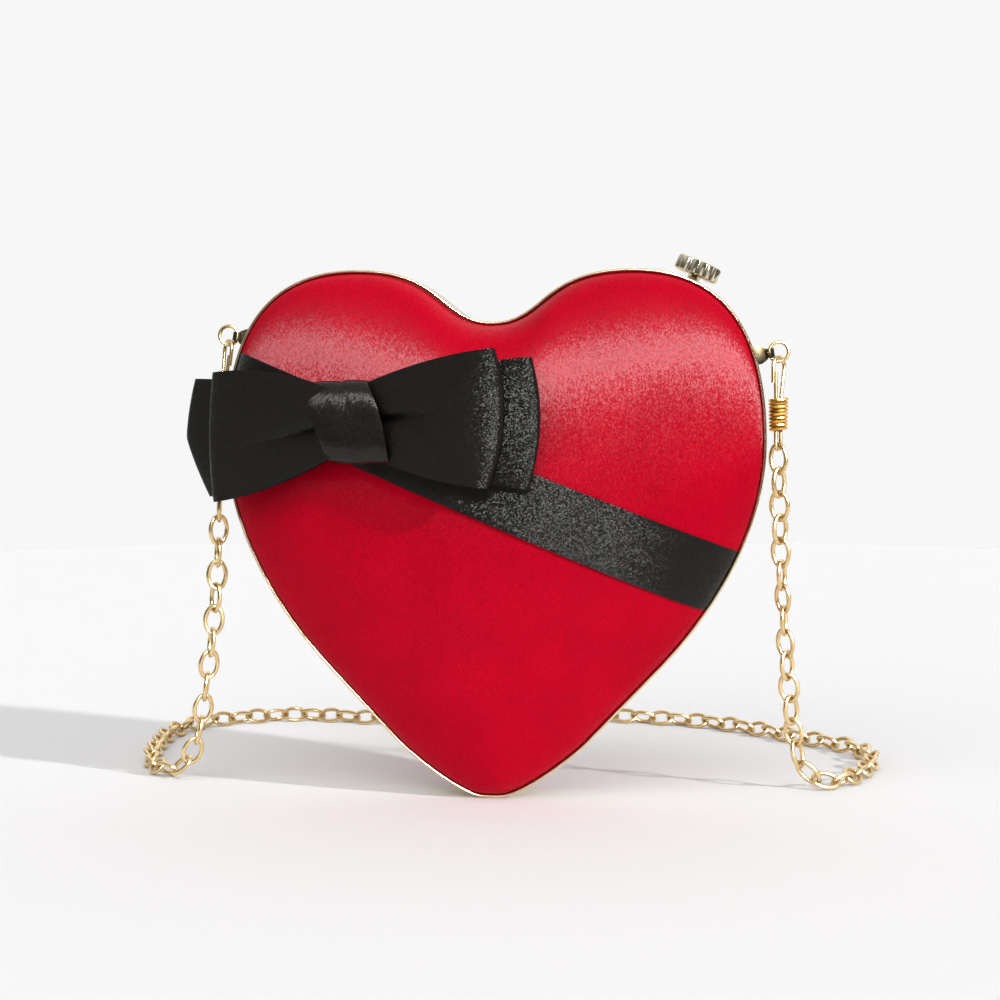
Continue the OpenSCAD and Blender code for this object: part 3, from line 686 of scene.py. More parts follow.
@dataclass
class HeartShape:
    """Outline and dome of the purse, by the same shares as the part's source.

    The outline's right half is five curves, from the tip by the hinge's flank and the side to the notch.
    """

    width: float = 156.0
    height: float = 152.0
    notch: float = 15.0
    tip_flat: float = 5.0
    flank_angle: float = 46.5
    hinge_length: float = 30.0
    hinge_room: float = 0.3
    frame_depth: float = 7.5
    half_gap: float = 0.15
    flange_y: float = 5.2
    skirt_top: float = 7.0
    dome_rise: float = 21.0
    cover_inset: float = 1.8
    roll: float = 0.65
    flank_shares: Point2 = (0.485, 0.176)
    side_share: float = 0.674
    lobe_share: float = 0.51
    centre_share: float = 0.575
    round_share: float = 0.4
    handle_shares: tuple[float, ...] = (0.077, 0.06, 0.167, 0.385, 0.265, 0.428, 0.34, 0.19)
    blend_power: float = 1.5
    roll_power: float = 14
    dome_powers: Point2 = (2.4, 0.55)
    samples: int = 104
    curve_steps: int = 60
    stretches: list[tuple[Vector, ...]] = field(default_factory=list)
    places: list[tuple[int, float]] = field(default_factory=list)
    edge: list[Point2] = field(default_factory=list)

    def __post_init__(self) -> None:
        """Work out the curves, evenly spaced places on them, and the edge by direction."""
        half, flank = self.width / 2, math.radians(self.flank_angle)
        across, up, run = Vector((half, 0)), Vector((0, half)), Vector((math.cos(flank), math.sin(flank)))
        self.flank_mid = Vector((half * self.flank_shares[0], self.height * self.flank_shares[1]))
        reach = self.hinge_length / 2 + self.hinge_room
        low, top = self.flank_mid - run * reach, self.flank_mid + run * reach
        side = Vector((half, self.height * self.side_share))
        lobe = Vector((half * self.lobe_share, self.height))
        notch, tip = Vector((0, self.height - self.notch)), Vector((self.tip_flat / 2, 0))
        tip_out, low_in, top_out, side_in, side_out, lobe_in, lobe_out, notch_in = self.handle_shares
        self.stretches = [
            (tip, tip + across * tip_out, low - run * half * low_in, low),
            (low, (low * 2 + top) / 3, (low + top * 2) / 3, top),
            (top, top + run * half * top_out, side - up * side_in, side),
            (side, side + up * side_out, lobe + across * lobe_in, lobe),
            (lobe, lobe - across * lobe_out, notch + across * notch_in, notch),
        ]
        last = len(self.stretches) - 1
        fine = [(s, k / self.curve_steps) for s in range(last + 1) for k in range(self.curve_steps)]
        fine.append((last, 1.0))
        for k, share in even_steps([self.rim(*spot) for spot in fine], self.samples):
            stretch, t = fine[k]
            self.places.append((stretch, t + share / self.curve_steps))
        edge, full = sorted(self.polar(p) for p in self.loop(self.cover_inset)), 2 * math.pi
        self.edge = [(edge[-1][0] - full, edge[-1][1]), *edge, (edge[0][0] + full, edge[0][1])]

    @property
    def centre(self) -> Vector:
        """Middle of the dome in front view."""
        return Vector((0, self.height * self.centre_share))

    def rim(self, stretch: int, t: float, inset: float = 0.0) -> Vector:
        """Give a point of the outline's right half.

        Args:
            stretch: Number of the curve, from the tip.
            t: Share of the way along it.
            inset: Distance inside the frame's outer face.

        Returns:
            The point in front view.
        """
        a, b, c, d = self.stretches[stretch]
        s = 1 - t
        point = a * s**3 + b * 3 * s * s * t + c * 3 * s * t * t + d * t**3
        run = (b - a) * s * s + (c - b) * 2 * s * t + (d - c) * t * t
        run.normalize()
        return point - Vector((run.y, -run.x)) * inset

    def outward(self, stretch: int, t: float) -> Vector:
        """Give the outline's outward direction at a place."""
        return (self.rim(stretch, t) - self.rim(stretch, t, 1.0)).normalized()

    def loop(self, inset: float) -> list[Vector]:
        """Give the whole outline, from the tip's right round to its left."""
        right = [self.rim(s, t, inset) for s, t in self.places]
        return right + [Vector((-p.x, p.y)) for p in reversed(right[:-1])]

    def polar(self, p: Vector) -> Point2:
        """Give a point's direction and distance from the dome's middle."""
        d = p - self.centre
        return (math.atan2(d.x, -d.y) % (2 * math.pi), d.length)

    def ring_radius(self, edge: float, u: float, roll: float = 0.0) -> float:
        """Give a ring's radius, by its share of the way out to an edge that rolls out by a little."""
        round_r = self.width * self.round_share
        return u * (round_r + (edge - round_r) * u**self.blend_power) + roll * u**self.roll_power

    def height_at(self, u: float, lift: float = 0.0) -> float:
        """Give the dome's distance from the middle plane on a ring."""
        out, up = self.dome_powers
        return self.skirt_top + (self.dome_rise + lift) * max(0.0, 1 - u**out) ** up

    def edge_at(self, angle: float) -> float:
        """Give the distance of the cover's edge.

        Args:
            angle: Direction from the dome's middle.

        Returns:
            The distance in millimetres.
        """
        k = min(max(bisect.bisect_left(self.edge, (angle,)), 1), len(self.edge) - 1)
        (a, near), (b, far) = self.edge[k - 1], self.edge[k]
        return between((near, far), (angle - a) / (b - a))

    def over(self, spot: Vector, lift: float = 0.0) -> Vector:
        """Give the point over the front dome at a place in front view.

        Args:
            spot: Place across and up.
            lift: Height above the cover.

        Returns:
            The point in space.
        """
        angle, r = self.polar(spot)
        edge = self.edge_at(angle)
        u = halve(lambda share: self.ring_radius(edge, share, self.roll) <= r)[1]
        out = (spot - self.centre).normalized()
        above = self.centre + out * self.ring_radius(edge + lift, u, self.roll)
        return in_front(above, -self.height_at(u, lift))


def in_front(point: Vector | Point2, y: float) -> Vector:
    """Put a point of the front view at a depth."""
    return Vector((point[0], y, point[1]))


HEART = HeartShape()


# Shells and frames


@dataclass
class ShellHalf:
    """Satin cover and lining of one half of the purse."""

    half: Half
    rings: int = 30
    skirt: float = 0.9
    cloth: float = 0.5
    lining_inset: float = 4.2
    lining_cloth: float = 0.35
    ripple: float = 0.22
    lining_ripple: float = 0.1
    ripple_length: float = 26.0
    ripple_power: int = 6
    ripple_layer: float = 40.0

    def dome(self, inset: float, ripple: float, roll: float) -> Mesh:
        """Make one dome surface, from its edge in the frame to its middle.

        Args:
            inset: How far the surface lies inside the cover's own surface.
            ripple: Height of the cloth's slow waves.
            roll: How far the cloth's edge rolls out over the groove that it is tucked into.

        Returns:
            The open dome.
        """
        sign = self.half.value
        edge = HEART.loop(HEART.cover_inset + inset)
        rings = [[in_front(p, sign * (HEART.flange_y + up)) for p in edge] for up in (0.0, self.skirt)]
        for k in range(self.rings):
            u = math.sin(math.pi / 2 * (1 - k / self.rings)) ** (2 / HEART.dome_powers[0])
            ring = []
            for p in edge:
                way = p - HEART.centre
                spot = HEART.centre + way.normalized() * HEART.ring_radius(way.length, u, roll)
                place = Vector((spot.x, spot.y, self.ripple_layer * sign)) / self.ripple_length
                wave = noise.noise(place) * ripple * (1 - u**self.ripple_power)
                ring.append(in_front(spot, sign * (HEART.height_at(u, -inset) + wave)))
            rings.append(ring)
        return lofted(rings, cap_end=True)

    def build(self) -> None:
        """Build the cover and the lining."""
        word, body, facing = self.half.name.lower(), self.half.body, Vector((0, self.half.value, 0))
        outer = solid_sheet(self.dome(0.0, self.ripple, HEART.roll), self.cloth, facing)
        cover = Piece(f"{word}_satin_cover", body, RED_SATIN, (f"{word}_cover",), CLOTH_SMOOTH).place(outer)
        deep = self.dome(self.lining_inset - HEART.cover_inset, self.lining_ripple, 0.0)
        inner = solid_sheet(deep, self.lining_cloth, facing)
        lining = Piece(f"{word}_inner_lining", body, LINING, (f"{word}_lining",), CLOTH_SMOOTH).place(inner)


@dataclass
class FrameHalf:
    """One half of the metal frame: a rolled wall with a rounded lip, and its flange."""

    half: Half
    wall: float = 1.0
    reach: float = 5.2
    flange_low: float = 4.4
    lip: float = 0.48
    seam: float = 0.3
    edge: float = 0.15
    fillet: float = 0.1
    wall_rows: Point3 = (2.0, 4.0, 5.6)
    arc_step: int = 18

    def section(self) -> list[Point2]:
        """Give the frame's section: a wall with a full round lip, and a flange.

        Returns:
            Its points, as insets with depths.
        """
        lip, seam, wall, step = self.lip, self.seam, self.wall, self.arc_step
        top, low = HEART.frame_depth - lip, HEART.half_gap + seam
        near, far, rim_y, foot_y = wall + self.fillet, self.reach, HEART.flange_y, self.flange_low
        edge, fillet = self.edge, self.fillet
        flange = [
            (wall, rim_y + fillet), (near, rim_y), (far - edge, rim_y), (far, rim_y - edge),
            (far, foot_y + edge), (far - edge, foot_y), (near, foot_y), (wall, foot_y - fillet),
        ]
        return [
            *arc((seam, low), seam, range(270, 179, -step)), *((0.0, y) for y in self.wall_rows),
            *arc((lip, top), lip, range(180, 89, -step)), *arc((wall - lip, top), lip, range(90, -1, -step)),
            *flange, *arc((wall - seam, low), seam, range(0, -91, -step)),
        ]

    def build(self) -> None:
        """Build the frame with its hinge relief and clasp hole."""
        word, sign = self.half.name.lower(), self.half.value
        rings = [[in_front(p, sign * y) for p in HEART.loop(inset)] for inset, y in self.section()]
        cutters = [HINGE.relief()]
        if self.half is Half.REAR:
            cutters.append(CLASP.hole())
        bm = cut_with(lofted(rings, closed_up=True), cutters)
        Piece(f"{word}_rim", self.half.body, PALE_GOLD, (f"{word}_frame",), smooth_deg=32).place(bm)


# Hinge and clasp


@dataclass
class Hinge:
    """Hinge on the left flank: leaves, knuckles and the pin with its turned end."""

    pin_r: float = 0.5
    bend_r: float = 1.0
    bend_drop: float = 0.3
    relief_r: float = 1.5
    relief_low: float = 2.0
    relief_top: float = 0.9

    def along(self) -> Matrix:
        """Frame with Z along the pin, upwards, from its lower end.

        Returns:
            The frame.
        """
        a = math.radians(HEART.flank_angle)
        run, out = Vector((-math.cos(a), 0, math.sin(a))), Vector((-math.sin(a), 0, -math.cos(a)))
        turn = Matrix((out, run.cross(out), run)).transposed().to_4x4()
        mid = Vector((-HEART.flank_mid.x, 0, HEART.flank_mid.y))
        return Matrix.Translation(mid - run * HEART.hinge_length / 2) @ turn

    def relief(self) -> Mesh:
        """Make the room that the frames leave for the knuckles."""
        return rod(self.relief_r, -self.relief_low, HEART.hinge_length + self.relief_top, self.along())

    def build(self) -> None:
        """Ease the leaves' edges and sweep the pin."""
        for half in (Half.REAR, Half.FRONT):
            word = half.name.lower()
            Piece(f"{word}_leaf", half.body, PALE_GOLD, (f"{word}_hinge_leaf",)).ease()
        bend = arc((self.bend_r, -self.bend_drop), self.bend_r, range(270, 179, -15))
        line = [self.along() @ in_front(p, 0) for p in (*bend, (0, HEART.hinge_length))]
        Piece("pin", Body.PURSE, WIRE_GOLD, ("hinge_pin",)).place(wire_mesh(line, self.pin_r, sides=16))


@dataclass
class Clasp:
    """Push clasp: fluted knob, collar, latch and its spring."""

    share: float = 0.8
    mid_y: float = 2.275
    knob_r: float = 6.5
    knob_h: float = 4.5
    lift: float = 1.6
    flutes: int = 18
    flute: float = 0.62
    flute_steps: int = 10
    flute_power: float = 1.6
    hole_r: float = 1.0
    hole_depth: float = 2.0
    hole_overrun: float = 1.0
    spring_r: float = 1.2
    spring_wire_r: float = 0.2
    spring_span: Point2 = (-1.9, -7.7)
    spring_turns: int = 5

    def turn(self) -> Matrix:
        """Frame with Z outwards along the post, from the frame's outer face.

        Returns:
            The frame.
        """
        at, out = HEART.rim(3, self.share), HEART.outward(3, self.share)
        z, y = in_front(out, 0), Vector((0, 1, 0))
        return Matrix.Translation(in_front(at, self.mid_y)) @ Matrix((y.cross(z), y, z)).transposed().to_4x4()

    def hole(self) -> Mesh:
        """Make the hole through the frame for the post."""
        return rod(self.hole_r, -self.hole_depth, self.hole_overrun, self.turn())

    def knob_ring(self, height: float, radius: float, depth: float) -> list[Vector]:
        """Give one ring of the knob.

        Args:
            height: Height above the knob's lower face.
            radius: Radius on the flutes' ridges.
            depth: Depth of the flutes.

        Returns:
            The ring's points.
        """
        count, spots = self.flutes * self.flute_steps, []
        for i in range(count):
            wave = abs(math.sin(math.pi * (i % self.flute_steps) / self.flute_steps))
            r, a = radius - depth * wave**self.flute_power, 2 * math.pi * i / count
            spots.append(self.turn() @ Vector((r * math.cos(a), r * math.sin(a), self.lift + height)))
        return spots

    def knob(self) -> Mesh:
        """Make the fluted knob, open underneath for the collar.

        Returns:
            The knob's mesh.
        """
        top, r, flute = self.knob_h, self.knob_r, self.flute
        pocket = [(2.8, 0.94), (2.8, 0.96), (1.25, 2.08), (1.2, 2.1), (0.05, 2.1), (0.0, 2.2)]
        side = [
            (0.0, r - 1.2, 0), (0.05, r - 0.8, 0.2), (0.3, r - 0.25, flute * 0.8), (0.6, r, flute),
            (top / 2, r, flute), (top - 0.6, r, flute), (top - 0.25, r - 0.2, flute * 0.8),
            (top - 0.05, r - 0.65, 0.25), (top, r - 1, 0.05),
        ]
        face = [(top - 0.12, 5.2), (top - 0.12, 4.9), (top + 0.05, 4.4), (top + 0.25, 2.5), (top + 0.3, 0.8)]
        profile = [*((*row, 0) for row in pocket), *side, *((*row, 0) for row in face)]
        bm = lofted([self.knob_ring(*row) for row in profile], cap_end=True)
        bmesh.ops.contextual_create(bm, geom=[e for e in bm.edges if len(e.link_faces) == 1])
        bmesh.ops.recalc_face_normals(bm, faces=bm.faces)
        return bm

    def build(self) -> None:
        """Build the clasp's pieces."""
        Piece("push_knob", Body.CLASP, KNOB_GOLD, ("clasp_knob",), smooth_deg=30).place(self.knob())
        for name, node, body in (
            ("latch", "clasp_latch", Body.CLASP), ("collar", "clasp_collar", Body.PURSE),
            ("latch_case", "clasp_housing", Body.PURSE), ("catch", "striker", Body.LID),
        ):
            Piece(name, body, PALE_GOLD, (node,)).ease()
        radii = (self.spring_r, self.spring_r)
        coil = coil_line(self.turn(), self.spring_turns, 16, radii, self.spring_span)
        spring = Piece("latch_spring", Body.PURSE, SPRING_GOLD, ("clasp_spring",))
        spring.place(wire_mesh(coil, self.spring_wire_r, sides=8))


HINGE = Hinge()
CLASP = Clasp()


# Strap fittings


@dataclass
class StrapEnd:
    """Lug, ring and snap hook at one side of the frame."""

    side: Side
    share: float
    lean_deg: float
    yaw_deg: float = 55.0
    lug_tilt_deg: float = 9.0
    lug_reach: float = 4.2
    lug_edge: float = 0.12
    ring_r: float = 2.75
    ring_sink: float = 0.1
    ring_step_deg: float = 7.5
    wire_r: float = 0.55
    wire_sides: int = 16
    drop: float = 25.2
    hook_h: float = 26.5
    leg: float = 1.25
    top_r: float = 2.8
    spring_low: float = 5.0
    spring_h: float = 9.3
    spring_wire_r: float = 0.35
    spring_swell: float = 0.09
    spring_room: float = 0.1
    spring_flare: float = 0.2
    spring_turns: int = 9

    def ring_centre(self) -> Vector:
        """Middle of the strap ring.

        Returns:
            The point in space.
        """
        p, x = HEART.rim(3, self.share), self.lug_reach + self.ring_r - self.ring_sink
        a = math.radians(self.lug_tilt_deg)
        return Vector((self.side.value * (p.x + x * math.cos(a)), CLASP.mid_y, p.y + x * math.sin(a)))

    def hook_frame(self) -> Matrix:
        """Frame of the hook, with Z up from the eye's wire and X towards the closed leg.

        Returns:
            The frame.
        """
        low = self.ring_centre() - Vector((0, 0, self.ring_r))
        mirror = Matrix.Scale(self.side.value, 4, (1, 0, 0))
        lean = Matrix.Rotation(math.radians(-self.lean_deg), 4, "Y")
        yaw = Matrix.Rotation(math.radians(self.yaw_deg), 4, "Z")
        return Matrix.Translation(low) @ mirror @ lean @ yaw @ Matrix.Translation((0, 0, -self.drop))

    def hook_line(self) -> list[Point2]:
        """Give the hook: a short leg, the eye at its foot, the long closed leg and the round top.

        Returns:
            Its centreline in the hook's frame.
        """
        leg, top = self.leg, self.hook_h - self.top_r
        short = [(-leg, 7.0), (-leg, 4.5), (-leg, leg + 0.5)]
        closed = [(leg, 1.9), (leg, 5), (leg, 10), (leg, 14.2), (leg * 1.1, 15.2), (leg * 1.25, 16.2)]
        return [
            *short, *arc((0, leg), leg, range(180, 361, 15)), *closed, (2.3, 20.6), (2.72, 22.6),
            *arc((0, top), self.top_r, range(0, 181, 12)), (-self.top_r, top - 2.0), (-self.top_r, top - 4.6),
        ]

    def gate_line(self) -> list[Point2]:
        """Give the gate's centreline in the hook's frame, from inside the spring to the crook."""
        low = [(-self.leg * out, z) for out, z in ((1, 8.1), (1, 12.8), (1.02, 14.2), (1.07, 15.6))]
        return [*low, (-1.48, 18.4), (-1.5, 19.4), (-1.5, 22.1)]

    def build(self) -> None:
        """Build the lug, ring, hook, gate and spring."""
        word, turn, centre = self.side.name.lower(), self.hook_frame(), self.ring_centre()
        # The lugs' finish is darkened to paint shade on them.
        Piece(f"{word}_strap_lug", Body.PURSE, LUG_GOLD_PAINTED_SHADE, (f"{word}_lug",)).ease(self.lug_edge)
        steps = round(360 / self.ring_step_deg)
        ring = arc((centre.x, centre.z), self.ring_r, (self.ring_step_deg * k for k in range(steps)))
        wires = (
            ("d_ring", f"{word}_strap_ring", "ring", [in_front(p, centre.y) for p in ring]),
            ("snap_hook", "purse", "hook", [turn @ in_front(p, 0) for p in self.hook_line()]),
            ("snap_gate", f"{word}_hook_gate", "gate", [turn @ in_front(p, 0) for p in self.gate_line()]),
        )
        for name, body, node, line in wires:
            wire = wire_mesh(line, self.wire_r, self.wire_sides, closed=node == "ring")
            Piece(f"{word}_{name}", Body(body), WIRE_GOLD, (f"{word}_{node}",)).place(wire)
        inner = self.leg + self.wire_r + self.spring_wire_r + self.spring_room
        low = self.spring_low + self.spring_wire_r
        radii, heights = (inner, inner + self.spring_flare), (low, low + self.spring_h)
        coil = coil_line(turn, self.spring_turns, 20, radii, heights)
        spring = Piece(f"{word}_coil", Body.PURSE, SPRING_GOLD, (f"{word}_hook_spring",))
        spring.place(wire_mesh(coil, self.spring_wire_r + self.spring_swell, sides=10))


RIGHT_END = StrapEnd(Side.RIGHT, 0.38, 0.0)
LEFT_END = StrapEnd(Side.LEFT, 0.46, 7.5)


@dataclass
class ChainStrap:
    """Chain of oval cable links, laid along the route of the part's source."""

    link_l: float = 9.4
    link_w: float = 6.4
    wire: float = 1.2
    dressed_wire: float = 1.35
    play: float = 0.2
    low: float = 2.5
    eye_hang: float = 0.7
    eye_drops: tuple[Point3, Point3] = ((0.3, 0.2, -8.0), (-0.2, 0.2, -8.0))
    way_steps: int = 8
    drop_links: int = 14
    twist_links: int = 6
    swing_deg: float = 20.0
    swing_step_deg: float = 137.5
    end_share: float = 0.76

    def route(self) -> list[Vector]:
        """Give the route's points, from the right hook to the left one.

        Returns:
            The points in space.
        """
        low = self.low
        eye = [end.hook_frame() @ Vector((0, 0, self.eye_hang)) for end in (RIGHT_END, LEFT_END)]
        hand = [
            (82.6, 6, 68), (84.3, 10.5, 42), (87, 15, 16), (88.9, 16.6, 8), (92.3, 17, 3.6), (97, 18, low),
            (104, 26, low), (110, 43, low), (113, 62, low), (109, 81, low), (100, 93, low), (89, 105, low),
            (78, 118, low), (59, 133, low), (31, 142, low), (0, 143, low), (-30, 133, low), (-51, 126, low),
            (-67, 128, low), (-86, 131, low), (-104, 122, low), (-117, 107, low), (-121, 85, low),
            (-118, 59, low), (-113, 34, low), (-105.5, 17, low), (-98.5, 11.5, 2.9), (-93.6, 9.2, 6.4),
            (-90.8, 8.5, 14), (-88.4, 7.8, 26), (-84.6, 6, 55), (-82.9, 4.2, 84),
        ]
        first, last = (spot + Vector(drop) for spot, drop in zip(eye, self.eye_drops))
        return [eye[0], first, *map(Vector, hand), last, eye[1]]

    @cached_property
    def way(self) -> list[Vector]:
        """The route as a smooth line."""
        return smooth_line(self.route(), self.way_steps)

    def holds(self) -> list[Vector]:
        """Give the places where each link takes hold of the next.

        Returns:
            The places, from hook to hook.
        """
        count = round(length_of(self.way) / (self.link_l - self.wire * 2 - self.play))
        return [self.way[k].lerp(self.way[k + 1], share) for k, share in even_steps(self.way, count)]

    def link_line(self) -> list[Vector]:
        """Give one oval link's centreline from four arcs, long way along X and wide way along Y.

        Returns:
            The centreline.
        """
        half_l, half_w = (self.link_l - self.wire) / 2, (self.link_w - self.wire) / 2
        end_r = half_w * self.end_share
        along, across = half_l - end_r, half_w - end_r
        back = (along**2 - across**2) / (2 * across)
        side_r, reach = half_w + back, math.degrees(math.atan2(back, along))
        arcs = (
            ((along, 0), end_r, 0, reach, 4), ((0, -back), side_r, 90, 90 - reach, 3),
            ((-along, 0), end_r, 180, reach, 4), ((0, back), side_r, 270, 90 - reach, 3),
        )
        line = []
        for centre, r, middle, spread, half in arcs:
            line += arc(centre, r, (middle + spread * k / half for k in range(-half, half)))
        return [Vector((x, y, 0)) for x, y in line]

    def frames(self) -> list[Matrix]:
        """Give each link's place and turn.

        Returns:
            A frame for each link, from the right hook to the left one.
        """
        holds = self.holds()
        runs = [(b - a).normalized() for a, b in zip(holds, holds[1:])]
        count, middle = len(runs), round(len(runs) / 2)
        sides: dict[int, Vector] = {}
        for way in (range(middle, count), range(middle, -1, -1)):
            side = Vector((0, 0, 1))
            for i in way:
                side = (side - runs[i] * side.dot(runs[i])).normalized()
                sides[i] = side

        def end_turn(i: int, end: StrapEnd) -> float:
            """Give the twist that sets an end link square across its hook's eye.

            Args:
                i: Number of the link.
                end: The hook's end of the strap.

            Returns:
                The twist in degrees.
            """
            want = end.hook_frame().to_3x3() @ Vector((0, 1, 0))
            up = runs[i].cross(sides[i])
            turn = math.degrees(math.atan2(want.dot(up), want.dot(sides[i]))) - 45 - 90 * (i % 2)
            return turn - 180 * round(turn / 180)

        right, left = end_turn(0, RIGHT_END), end_turn(count - 1, LEFT_END)
        turns = []
        for i, x in enumerate(runs):
            from_left = count - 1 - i
            swing = self.swing_deg * math.sin(math.pi * min(1.0, min(i, from_left) / self.drop_links))
            twist = 45 + 90 * (i % 2) + swing * math.sin(math.radians(self.swing_step_deg * i))
            twist += right * max(0.0, 1 - i / self.twist_links)
            twist += left * max(0.0, 1 - from_left / self.twist_links)
            a = math.radians(twist)
            y = sides[i] * math.cos(a) + x.cross(sides[i]) * math.sin(a)
            turn = Matrix((x, y, x.cross(y))).transposed().to_4x4()
            turns.append(Matrix.Translation((holds[i] + holds[i + 1]) / 2) @ turn)
        return turns

    def build(self) -> None:
        """Build the chain as one cord of links."""
        base = wire_mesh(self.link_line(), self.dressed_wire / 2, closed=True)
        links = []
        for turn in self.frames():
            links.append(base.copy())
            bmesh.ops.transform(links[-1], matrix=turn, verts=links[-1].verts)
        base.free()
        stretches = ("right_drop", "right_floor", "back_run", "left_floor", "left_drop")
        nodes = tuple(f"chain_{stretch}" for stretch in stretches)
        chain = Piece("chain_strap", Body.PURSE, WIRE_GOLD, nodes, smooth_deg=60).place(join_meshes(links))
        way = [p * MM for p in self.way]
        tuple(way[0])
        length_of(way)
        [tuple(p) for p in way]


# Ribbon and bow


@dataclass
class RibbonBand:
    """Satin ribbon laid slantwise over the lid, its ends tucked into the frame's groove."""

    corners: tuple[Point2, ...] = ((-78.0, 130.3), (-81.9, 114.8), (74.1, 70.4), (65.5, 53.2))
    lift: float = 0.45
    thickness: float = 0.4
    tuck: float = 1.3
    tuck_share: float = 0.03
    hem: float = 0.12
    hem_share: float = 0.03
    edge_rise: float = 0.15
    rise_rate: float = 14.0

    def inside(self, p: Vector) -> bool:
        """Say whether a point of the front view lies over the cover."""
        angle, r = HEART.polar(p)
        return r <= HEART.edge_at(angle) + HEART.roll

    def meet(self, a: Vector, b: Vector) -> Vector:
        """Give the point where the way from a point inside to one outside crosses the cover's edge."""
        return a.lerp(b, halve(lambda share: self.inside(a.lerp(b, share)), 20)[0])

    def point(self, way: float, across: float) -> Vector:
        """Give a point of the ribbon's outer side.

        Args:
            way: Share of the way along it.
            across: Share of the way across it.

        Returns:
            The point in space.
        """
        top_left, foot_left, top_right, foot_right = (Vector(c) for c in self.corners)
        left, right = top_left.lerp(foot_left, across), top_right.lerp(foot_right, across)
        mid, ends = left.lerp(right, 0.5), self.tuck_share
        along = min(max((way - ends) / (1 - 2 * ends), 0.0), 1.0)
        along = 0.5 - math.cos(math.pi * along) / 2
        rise = min(1.0, self.rise_rate * min(along, 1 - along) + self.edge_rise)
        spot = self.meet(mid, left).lerp(self.meet(mid, right), along)
        place = HEART.over(spot, (self.lift + self.thickness) * rise)
        down = self.tuck * max(0.0, (ends - min(way, 1 - way)) / ends)
        hem = self.hem * max(0.0, 1 - min(across, 1 - across) / self.hem_share)
        return place + Vector((0, down + hem, 0))

    def build(self) -> None:
        """Build the band."""
        bm = solid_sheet(sheeted(160, 22, self.point), self.thickness, Vector((0, -1, 0)))
        band = Piece("ribbon_over_lid", Body.LID, BLACK_RIBBON, ("ribbon_band",), CLOTH_SMOOTH).place(bm)


@dataclass
class BowLoop:
    """One folded loop of the bow: a strip that runs out from the knot, folds and comes back.

    The knot and end are pairs of places in front view, the upper one first, and swell lifts their edges.
    Depth is the loop's Y at the knot and the end. The crease starts at the knot and dies out at its share.
    """

    knot: tuple[Point2, Point2]
    end: tuple[Point2, Point2]
    bulge: float
    swell: Point2
    depth: Point2
    fullness: float
    crease: float
    crease_places: Point2
    crease_share: float
    seed: float
    peak: float = 2.0
    crease_w: float = 0.13
    crease_growth: Point2 = (0.6, 1.5)
    crease_walls: Point2 = (0.32, 1.5)
    crease_power: float = 1.15
    fade_power: float = 0.7
    swell_power: float = 0.8
    bulge_power: int = 5
    fold_power: float = 0.85
    face_power: float = 0.42
    full_power: float = 0.7
    knot_fullness: float = 0.5
    rear_keep: float = 1.7
    rear_room: float = 0.8
    belly: float = 1.1
    belly_span: Point2 = (0.15, 0.85)
    belly_power: float = 0.8
    rear_belly: float = -0.4
    wave: float = 0.55
    wave_lengths: Point2 = (19.0, 17.0)
    wave_shift: float = 0.4
    cloth: float = 0.45

    def side(self, row: int, out: float) -> Vector:
        """Give the loop's edge in front view, the upper one for row 0 and the lower one for row 1."""
        lift = self.swell[row] * (1 - 2 * row) * math.sin(math.pi * out) ** self.swell_power
        return Vector(self.knot[row]).lerp(Vector(self.end[row]), out) + Vector((0, lift))

    def crease_depth(self, out: float, up: float) -> float:
        """Give the crease's depth, steep on its upper wall and gentle on its lower one.

        Args:
            out: Share of the way out from the knot.
            up: Share of the way up the strip.

        Returns:
            The depth in millimetres.
        """
        middle = between(self.crease_places, out)
        wall = self.crease_w * between(self.crease_growth, out) * self.crease_walls[0 if up > middle else 1]
        fade = max(0.0, 1 - out / self.crease_share) ** self.fade_power
        return self.crease * fade * math.exp(-((abs(up - middle) / wall) ** self.crease_power))

    def point(self, way: float, up: float) -> Vector:
        """Give a point of the strip.

        Args:
            way: Share of the way out along the front and back along the rear.
            up: Share of the way up its width.

        Returns:
            The point in space.
        """
        turn = math.pi * way
        out, front = math.sin(turn) ** self.fold_power, signed_power(math.cos(turn), self.face_power)
        spot = self.side(1, out).lerp(self.side(0, out), up)
        sign = 1 if self.end[0][0] > self.knot[0][0] else -1
        spot.x += sign * self.bulge * out**self.bulge_power * (1 - abs(2 * up - 1) ** self.peak)
        full = between((self.knot_fullness, self.fullness), out**self.full_power)
        dip = self.crease_depth(out, up)
        y = between(self.depth, out) - full * front
        y += dip if front > 0 else max(0.0, dip - self.rear_keep * full + self.rear_room)
        belly = self.belly * math.sin(math.pi * up) ** self.belly_power
        belly *= math.sin(math.pi * between(self.belly_span, out))
        y -= belly * (1 if front > 0 else self.rear_belly)
        wide, high = self.wave_lengths
        place = Vector((spot.x / wide, spot.y / high, self.seed + front * self.wave_shift))
        return in_front(spot, y - noise.noise(place) * self.wave * out)


REAR_LOOP = partial(BowLoop, fullness=2.2, crease=1.2, crease_places=(0.5, 0.5), crease_share=0.7)
FRONT_LOOP = partial(BowLoop, fullness=3.4, crease=4.2)


